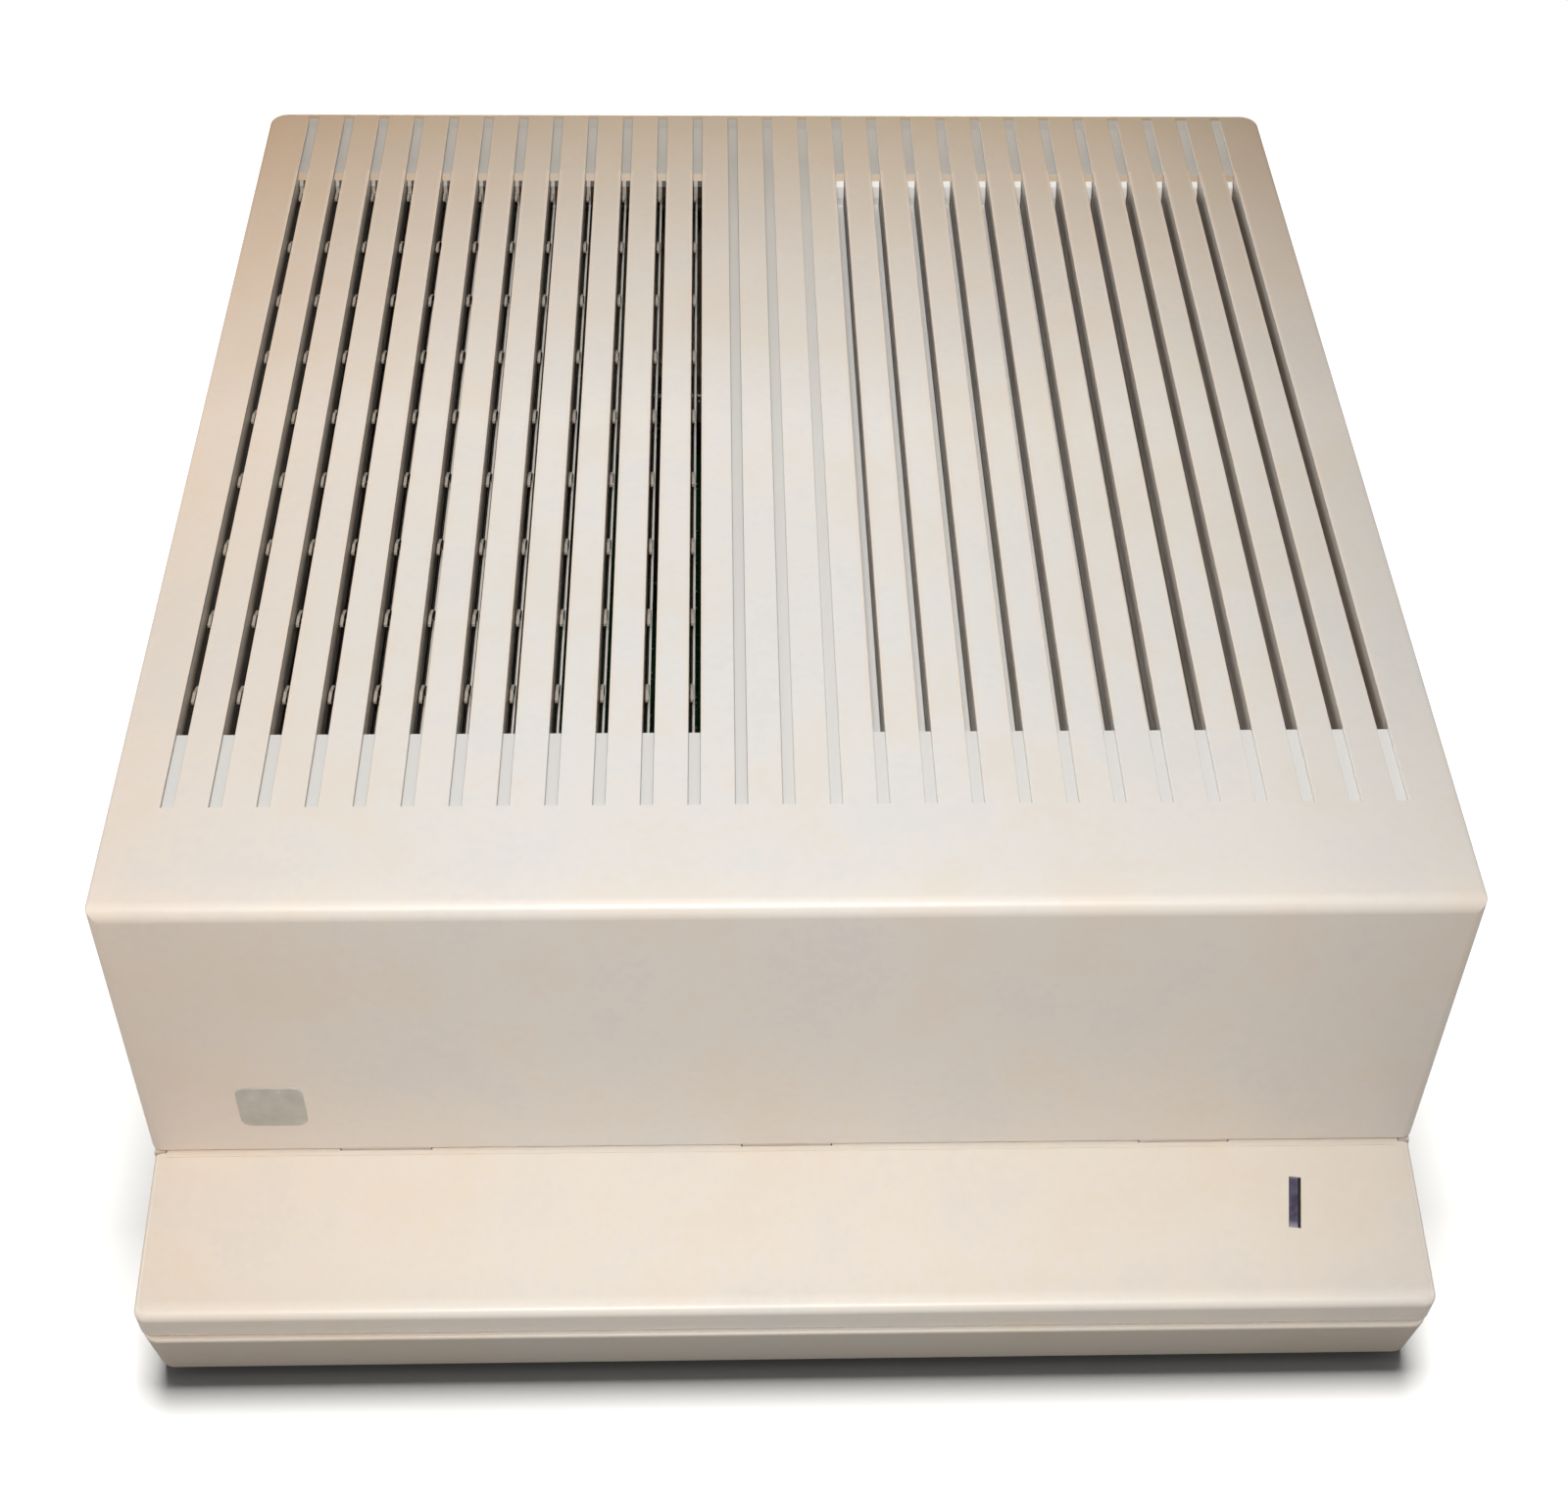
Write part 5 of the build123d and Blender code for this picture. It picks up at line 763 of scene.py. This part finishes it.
def flangedPort(tree, place, name):
    # only what stands outside the body and round the insert is metal
    spec = portSpec
    low, high = boxMm(name)
    middle, half = (low[0] + high[0]) / 2, (high[0] - low[0]) / 2 - spec["flange"]
    x, _, z = addNode(tree, "SeparateXYZ", [place]).outputs
    offX = addNode(tree, "Math", [x, middle / 1000], operation="SUBTRACT")
    farX = addNode(tree, "Math", [offX], operation="ABSOLUTE")
    foot, top = spec["height"] - spec["shellHalf"], spec["height"] + spec["shellHalf"]
    under = addNode(tree, "Math", [top / 1000, z], operation="SUBTRACT")
    lean = addNode(tree, "Math", [under, spec["shellLean"], farX], operation="MULTIPLY_ADD")
    narrow = addNode(tree, "Math", [lean, half / 1000], operation="LESS_THAN")
    within = insideBox(tree, place, (low[0], spec["shieldY"], foot), (high[0], spec["insertY"], top))
    insert = addNode(tree, "Math", [narrow, within], operation="MULTIPLY")
    front = (low[0], low[1] - marginMm, low[2] - marginMm)
    rear = (high[0], spec["shieldY"] - marginMm, high[2] + marginMm)
    body = insideBox(tree, place, front, rear)
    black = addNode(tree, "Math", [insert, body], operation="MAXIMUM")
    metal, plain = rolledMetal(tree, place, brightNickel), mouldedPlastic(tree, place, blackMoulding)
    return joinFinishes(tree, black, metal, plain)


def roundPort(tree, place, spec):
    # a metal ring or barrel round a moulded middle, outside the shield
    low, high = grownMm(spec["node"])
    middle = ((low[0] + high[0]) / 2, 0.0, portSpec["height"])
    outside = insideBox(tree, place, (low[0], portSpec["shieldY"], low[2]), high)
    core = insideRod(tree, place, middle, spec["insideMm"])
    ring = addNode(tree, "Math", [outside, core], operation="SUBTRACT")
    shown = addNode(tree, "Math", [ring, 0.5], operation="GREATER_THAN")
    plain = mouldedPlastic(tree, place, spec["moulding"])
    return joinFinishes(tree, shown, plain, rolledMetal(tree, place, brightNickel))


for node in ("game_port", "disk_port", "monitor_port"):
    dress([node], node + "Nickel", flangedPort, node)
paleInsert = dict(blackMoulding, tones=[(0.35, "#d8d2c2"), (0.65, "#e6e1d4")])
for node, inside, moulding in (
    ("modem_port", "ringInside", blackMoulding),
    ("printer_port", "ringInside", blackMoulding),
    ("keyboard_port", "ringInside", blackMoulding),
    ("headphone_jack", "jackInside", blackMoulding),
    ("video_jack", "barrelInside", paleInsert),
):
    spec = {"node": node, "insideMm": portSpec[inside], "moulding": moulding}
    dress([node], node + "Ring", roundPort, spec)

coneSpec = {
    "ringScale": 130.0, "fibreScale": 2200.0, "rise": 0.0001,
    "tones": [(0.3, "#2a2826"), (0.7, "#45413c")],
}


def paperCone(tree, place, spec):
    # pressed pulp, grey-black, with fibres and shallow rings round the middle
    centre = [(a + b) / 2 for a, b in zip(*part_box("speaker_cone"))]
    off = addNode(tree, "VectorMath", [place, centre], operation="SUBTRACT")
    inputs = {"Vector": off, "Scale": spec["ringScale"]}
    rings = addNode(tree, "TexWave", inputs, wave_type="RINGS", rings_direction="Z")
    fibre = addNode(tree, "TexNoise", {"Vector": place, "Scale": spec["fibreScale"], "Detail": 4.0})
    both = addNode(tree, "Math", [rings.outputs["Fac"], fibre], operation="ADD")
    return {
        "Base Color": addNode(tree, "ValToRGB", {"Fac": fibre}, stops=spec["tones"]),
        "Roughness": 0.85,
        "Normal": addNode(tree, "Bump", {"Height": both, "Strength": 0.5, "Distance": spec["rise"]}),
    }


dress(["speaker_cone"], "paperCone", paperCone, coneSpec)

# how the leads of a bundle climb, and how far each stands out
leadTwist = {"turn": (0.5, 0.6, 0.4), "distortion": 1.5, "rise": 0.0003}


def leadBundle(tree, place, spec):
    # PVC leads laid together with a long twist, so their colours climb round the bundle
    turned = addNode(tree, "Mapping", {"Vector": place, "Rotation": leadTwist["turn"]})
    cover = addNode(tree, "TexWave", {
        "Vector": turned,
        "Scale": 50 / spec["coilMm"],  # a wave of scale 1 repeats about every 0.3 m
        "Distortion": leadTwist["distortion"],
        "Detail": 1.0,
    }, wave_profile="SAW").outputs["Fac"]
    tone = addNode(tree, "ValToRGB", {"Fac": cover}, stops=spec["tones"])
    tone.color_ramp.interpolation = "CONSTANT"
    bump = addNode(tree, "Bump", {"Height": cover, "Strength": 0.3, "Distance": leadTwist["rise"]})
    return {"Base Color": tone, "Roughness": 0.36, "Normal": bump}


dress(["power_harness"], "harnessLeads", leadBundle, {
    "coilMm": 3.0,
    "tones": [(0.0, "#1c1c1d"), (0.3, "#a3312a"), (0.5, "#c9b44a"), (0.68, "#dad6cc"), (0.84, "#2c4a86")],
})
twin = {"coilMm": 1.5, "tones": [(0.0, "#8e2a26"), (0.5, "#1f1f20")]}
dress(["speaker_lead"], "speakerTwin", leadBundle, twin)
dress(["lamp_lead"], "lampTwin", leadBundle, twin)

# sintered ferrite: dark grey, brittle, with a dry ground face
dress(["speaker_magnet"], "sinteredFerrite", mouldedPlastic, {
    "cloudMm": 4.0, "tones": [(0.3, "#38383a"), (0.7, "#4b4b4d")],
    "roughness": (0.45, 0.65), "ior": 1.6, "grainMm": 0.3, "depthMm": 0.02,
})
# pressed steel basket under thin black paint
dress(["speaker_frame"], "paintedSteel", mouldedPlastic, {
    "cloudMm": 7.0, "tones": [(0.3, "#2a2a2b"), (0.7, "#3a3a3b")],
    "roughness": (0.3, 0.45), "ior": 1.5, "grainMm": 0.7, "depthMm": 0.02,
})
# tin plated over a copper alloy: pale grey, with a soft shine
tinnedLegs = makeMaterial("tinnedLegs", rolledMetal, {
    "linesMm": (0.3, 0.3, 2.0), "cloudMm": 1.5,
    "tones": [(0.3, "#b4b4b0"), (0.7, "#d0cfc9")], "roughness": (0.3, 0.45),
})
# hard gold flashed over nickel: warm yellow and smooth
goldContacts = makeMaterial("goldContacts", rolledMetal, {
    "linesMm": (0.3, 0.3, 2.0), "cloudMm": 2.0,
    "tones": [(0.3, "#d0a24a"), (0.7, "#e6c06a")], "roughness": (0.2, 0.3),
})
# ceramic discs dipped in phenolic resin: dull ochre, lumpy
dippedCeramic = makeMaterial("dippedCeramic", mouldedPlastic, {
    "cloudMm": 1.2, "tones": [(0.3, "#a8662e"), (0.7, "#c28040")],
    "roughness": (0.45, 0.6), "ior": 1.55, "grainMm": 0.5, "depthMm": 0.06,
})

# the resistors' lacquer and its colour bands, which lie across the row
resistorSpec = {
    "y": -0.0705, "pitch": 0.00508, "bandHalf": 0.00028,
    "bandYs": (-0.0018, -0.0007, 0.0004, 0.0019),
    "lacquer": [(0.3, "#c9a878"), (0.7, "#d8ba8c")],
    "bands": [(0.0, "#3a2418"), (0.25, "#b8352a"), (0.5, "#d8a02c"), (0.75, "#4a7a3c"), (1.0, "#5a4a8c")],
}


def bandedLacquer(tree, place, spec):
    # each resistor picks its own band colours by its place in the row
    x, y = addNode(tree, "SeparateXYZ", [place]).outputs[:2]
    cloud = addNode(tree, "TexNoise", {"Vector": place, "Scale": 900.0, "Detail": 2.0})
    base = addNode(tree, "ValToRGB", {"Fac": cloud}, stops=spec["lacquer"])
    shifted = addNode(tree, "Math", [x, spec["pitch"] / 2], operation="ADD")
    which = addNode(tree, "Math", [shifted, spec["pitch"]], operation="SNAP")
    bands = []
    for order, bandY in enumerate(spec["bandYs"]):
        kind = addNode(tree, "TexWhiteNoise", {"Vector": which, "W": float(order)}, noise_dimensions="4D")
        paint = addNode(tree, "ValToRGB", {"Fac": kind}, stops=spec["bands"])
        off = addNode(tree, "Math", [y, spec["y"] + bandY], operation="SUBTRACT")
        far = addNode(tree, "Math", [off], operation="ABSOLUTE")
        on = addNode(tree, "Math", [far, spec["bandHalf"]], operation="LESS_THAN")
        bands.append((on, paint))
    return {
        "Base Color": layered(tree, base, bands),
        "Roughness": 0.32,
        "IOR": 1.52,
        "Normal": fineGrain(tree, place, grainMm=0.7, depthMm=0.01, strength=0.3),
    }


# rows of small like pieces on the board: one piece is copied along each run at a fixed pitch
rowSpec = {
    "pinPitch": 0.00254,
    "boardTop": 0.0121,
    "legTop": 0.0023,
    "shoulder": (0.0007, 0.0007),  # half its width, and its height, where a leg leaves its package
    "bladeHalf": 0.00025, "legThick": 0.0002,
    "packages": {"logic_chips": 9, "processor": 20, "rom_chips": 14, "memory_chips": 8},  # legs on a side
    "cardContacts": 25,  # on a side
    "memoryContacts": 21,
    "mouthHalf": 0.001, "contactHalf": 0.0006,
    "contact": (0.0046, 0.0104),  # its foot and its top above the board
    "contactThick": 0.00014,
    "discPitch": {"logic": 0.032, "memory": 0.028},
    "discRuns": {
        "logic": [((-0.0395, y), (0.0565, y)) for y in (-0.101, -0.089, -0.077)],
        "memory": [((0.0805, y), (0.1085, y)) for y in (-0.005, 0.007, 0.019)],
    },
    "discRadii": (0.0023, 0.0009, 0.0021),
    "discRise": 0.0031,
    "discLegs": 0.00127,
    "discTuck": 0.001,  # from the disc's middle down to where its legs leave it
    "wireHalf": 0.0002,
    "below": 0.0005,  # how far a leg goes into the board
    "sides": 12,
    "resistorRun": (-0.0508, 0.06096),
    "resistorRadii": (0.0009, 0.00115),
    "resistorHalf": 0.0026,
    "resistorEnd": 0.0012,
    "resistorLead": (0.0037, 0.0003),
}


def addBoxes(form, boxes):
    # closed boxes between pairs of corners
    for low, high in boxes:
        for vert in bmesh.ops.create_cube(form, size=1.0)["verts"]:
            vert.co = Vector([(a + b) / 2 + c * (b - a) for a, b, c in zip(low, high, vert.co)])


def objectOf(name, form):
    bmesh.ops.recalc_face_normals(form, faces=form.faces)
    mesh = bpy.data.meshes.new(name)
    form.to_mesh(mesh)
    form.free()
    return bpy.data.objects.new(name, mesh)


def boxMesh(name, boxes):
    form = bmesh.new()
    addBoxes(form, boxes)
    return objectOf(name, form)


def rowTree():
    # a copy of Part at every Pitch along each run, turned to follow it
    tree = bpy.data.node_groups.new("rowOfParts", "GeometryNodeTree")
    named = {"Runs": "Geometry", "Part": "Object", "Pitch": "Float", "Finish": "Material"}
    for name, kind in named.items():
        tree.interface.new_socket(name, in_out="INPUT", socket_type="NodeSocket" + kind)
    tree.interface.new_socket("Row", in_out="OUTPUT", socket_type="NodeSocketGeometry")
    given = addNode(tree, "NodeGroupInput")
    curve = addNode(tree, "GeometryNodeMeshToCurve", [given.outputs["Runs"]])
    inputs = {"Curve": curve, "Length": given.outputs["Pitch"]}
    points = addNode(tree, "GeometryNodeCurveToPoints", inputs, mode="LENGTH")
    inputs = {"Vector": points.outputs["Tangent"]}
    turn = addNode(tree, "FunctionNodeAlignRotationToVector", inputs, axis="X", pivot_axis="Z")
    part = addNode(tree, "GeometryNodeObjectInfo", {"Object": given.outputs["Part"]})
    copies = addNode(tree, "GeometryNodeInstanceOnPoints", {
        "Points": points.outputs["Points"],
        "Instance": part.outputs["Geometry"],
        "Rotation": turn,
    })
    real = addNode(tree, "GeometryNodeRealizeInstances", [copies])
    dressed = addNode(tree, "GeometryNodeSetMaterial", {
        "Geometry": real,
        "Material": given.outputs["Finish"],
    })
    addNode(tree, "NodeGroupOutput", [dressed])
    return tree


rowOfParts = rowTree()


def makeRow(name, part, runs, pitch, finish):
    # runs are pairs of points; the result is one plain mesh that rides on the base
    carrierMesh = bpy.data.meshes.new(name + "Runs")
    points = [point for run in runs for point in run]
    carrierMesh.from_pydata(points, [(2 * i, 2 * i + 1) for i in range(len(runs))], [])
    carrier = bpy.data.objects.new(name + "Runs", carrierMesh)
    bpy.context.scene.collection.objects.link(carrier)
    modifier = carrier.modifiers.new("row", "NODES")
    modifier.node_group = rowOfParts
    values = {"Part": part, "Pitch": pitch, "Finish": finish}
    for socket in rowOfParts.interface.items_tree:
        if socket.in_out == "INPUT" and socket.name in values:
            modifier[socket.identifier] = values[socket.name]
    view = bpy.context.evaluated_depsgraph_get()
    view.update()
    baked = bpy.data.meshes.new_from_object(carrier.evaluated_get(view), depsgraph=view)
    carrier.modifiers.remove(modifier)
    bpy.data.objects.remove(carrier)
    bpy.data.objects.remove(part)
    piece = bpy.data.objects.new(name, baked)
    bpy.context.scene.collection.objects.link(piece)
    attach(piece, "base")
    print(name, "copies on", len(runs), "runs:", len(baked.polygons), "faces")


def looseBoxes(name):
    # the lowest and highest corners of each separate solid in a node
    form = bmesh.new()
    form.from_mesh(nodes[name].data)
    bmesh.ops.remove_doubles(form, verts=form.verts, dist=1e-6)
    left = set(form.verts)
    boxes = []
    while left:
        reached, edge = set(), [left.pop()]
        while edge:
            vert = edge.pop()
            reached.add(vert)
            near = {link.other_vert(vert) for link in vert.link_edges} & left
            left -= near
            edge.extend(near)
        corners = [vert.co for vert in reached]
        boxes.append([[pick(c[i] for c in corners) for i in range(3)] for pick in (min, max)])
    form.free()
    return sorted(boxes)


def makeLegs():
    spec = rowSpec
    half, rise = spec["shoulder"]
    thick = spec["legThick"]
    leg = boxMesh("leg", [
        ((-half, 0, spec["legTop"] - rise), (half, thick, spec["legTop"])),
        ((-spec["bladeHalf"], 0, -spec["below"]), (spec["bladeHalf"], thick, spec["legTop"] - rise)),
    ])
    runs = []
    for name, count in spec["packages"].items():
        reach = (count - 1) * spec["pinPitch"] / 2
        for low, high in looseBoxes(name):
            middle = (low[0] + high[0]) / 2
            for y, way in ((low[1], -1), (high[1], 1)):
                ends = (middle - way * reach, middle + way * reach)
                runs.append([(x, y, spec["boardTop"]) for x in ends])
    makeRow("chip_legs", leg, runs, spec["pinPitch"], tinnedLegs)


def makeContacts():
    spec = rowSpec
    foot, top = spec["contact"]
    half = spec["contactHalf"]
    contact = boxMesh("contact", [((-half, 0, foot), (half, spec["contactThick"], top))])
    runs = []
    for name in connectors:
        count = spec["memoryContacts" if name == "memory_connector" else "cardContacts"]
        low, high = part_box(name)
        x, y = (low[0] + high[0]) / 2, (low[1] + high[1]) / 2
        reach = (count - 1) * spec["pinPitch"] / 2
        for way in (-1, 1):
            wall = x + way * spec["mouthHalf"]
            runs.append([(wall, end, spec["boardTop"]) for end in (y - way * reach, y + way * reach)])
    makeRow("slot_contacts", contact, runs, spec["pinPitch"], goldContacts)


def makeDiscs(kind):
    spec = rowSpec
    form = bmesh.new()
    bmesh.ops.create_uvsphere(form, u_segments=spec["sides"], v_segments=8, radius=1.0)
    middle = Vector((0, 0, spec["discRise"]))
    for vert in form.verts:
        vert.co = Vector([c * r for c, r in zip(vert.co, spec["discRadii"])]) + middle
    half, top = spec["wireHalf"], spec["discRise"] - spec["discTuck"]
    addBoxes(form, [
        ((x - half, -half, -spec["below"]), (x + half, half, top))
        for x in (-spec["discLegs"], spec["discLegs"])
    ])
    disc = objectOf("disc", form)
    runs = [[(x, y, spec["boardTop"]) for x, y in run] for run in spec["discRuns"][kind]]
    makeRow(kind + "_discs", disc, runs, spec["discPitch"][kind], dippedCeramic)


def makeResistors():
    spec = rowSpec
    thin, thick = spec["resistorRadii"]
    half = spec["resistorHalf"]
    reach, wire = spec["resistorLead"]
    form = bmesh.new()
    lying = Matrix.Translation((0, 0, thick)) @ Matrix.Rotation(math.pi / 2, 4, "X")
    end = spec["resistorEnd"]
    for y, radius, long in ((0, thin, 2 * half), (-half, thick, end), (half, thick, end)):
        place = Matrix.Translation((0, y, 0)) @ lying
        shape = {"segments": spec["sides"], "radius1": radius, "radius2": radius, "depth": long}
        bmesh.ops.create_cone(form, cap_ends=True, matrix=place, **shape)
    leads = [((-wire, -reach, thick - wire), (wire, reach, thick + wire))]
    for y in (-reach, reach):
        leads.append(((-wire, y - wire, -spec["below"]), (wire, y + wire, thick + wire)))
    addBoxes(form, leads)
    resistor = objectOf("resistor", form)
    runs = [[(x, resistorSpec["y"], spec["boardTop"]) for x in spec["resistorRun"]]]
    lacquer = makeMaterial("bandedLacquer", bandedLacquer, resistorSpec)
    makeRow("resistor_row", resistor, runs, resistorSpec["pitch"], lacquer)


makeLegs()
makeContacts()
for kind in ("logic", "memory"):
    makeDiscs(kind)
makeResistors()
print("board rows made")
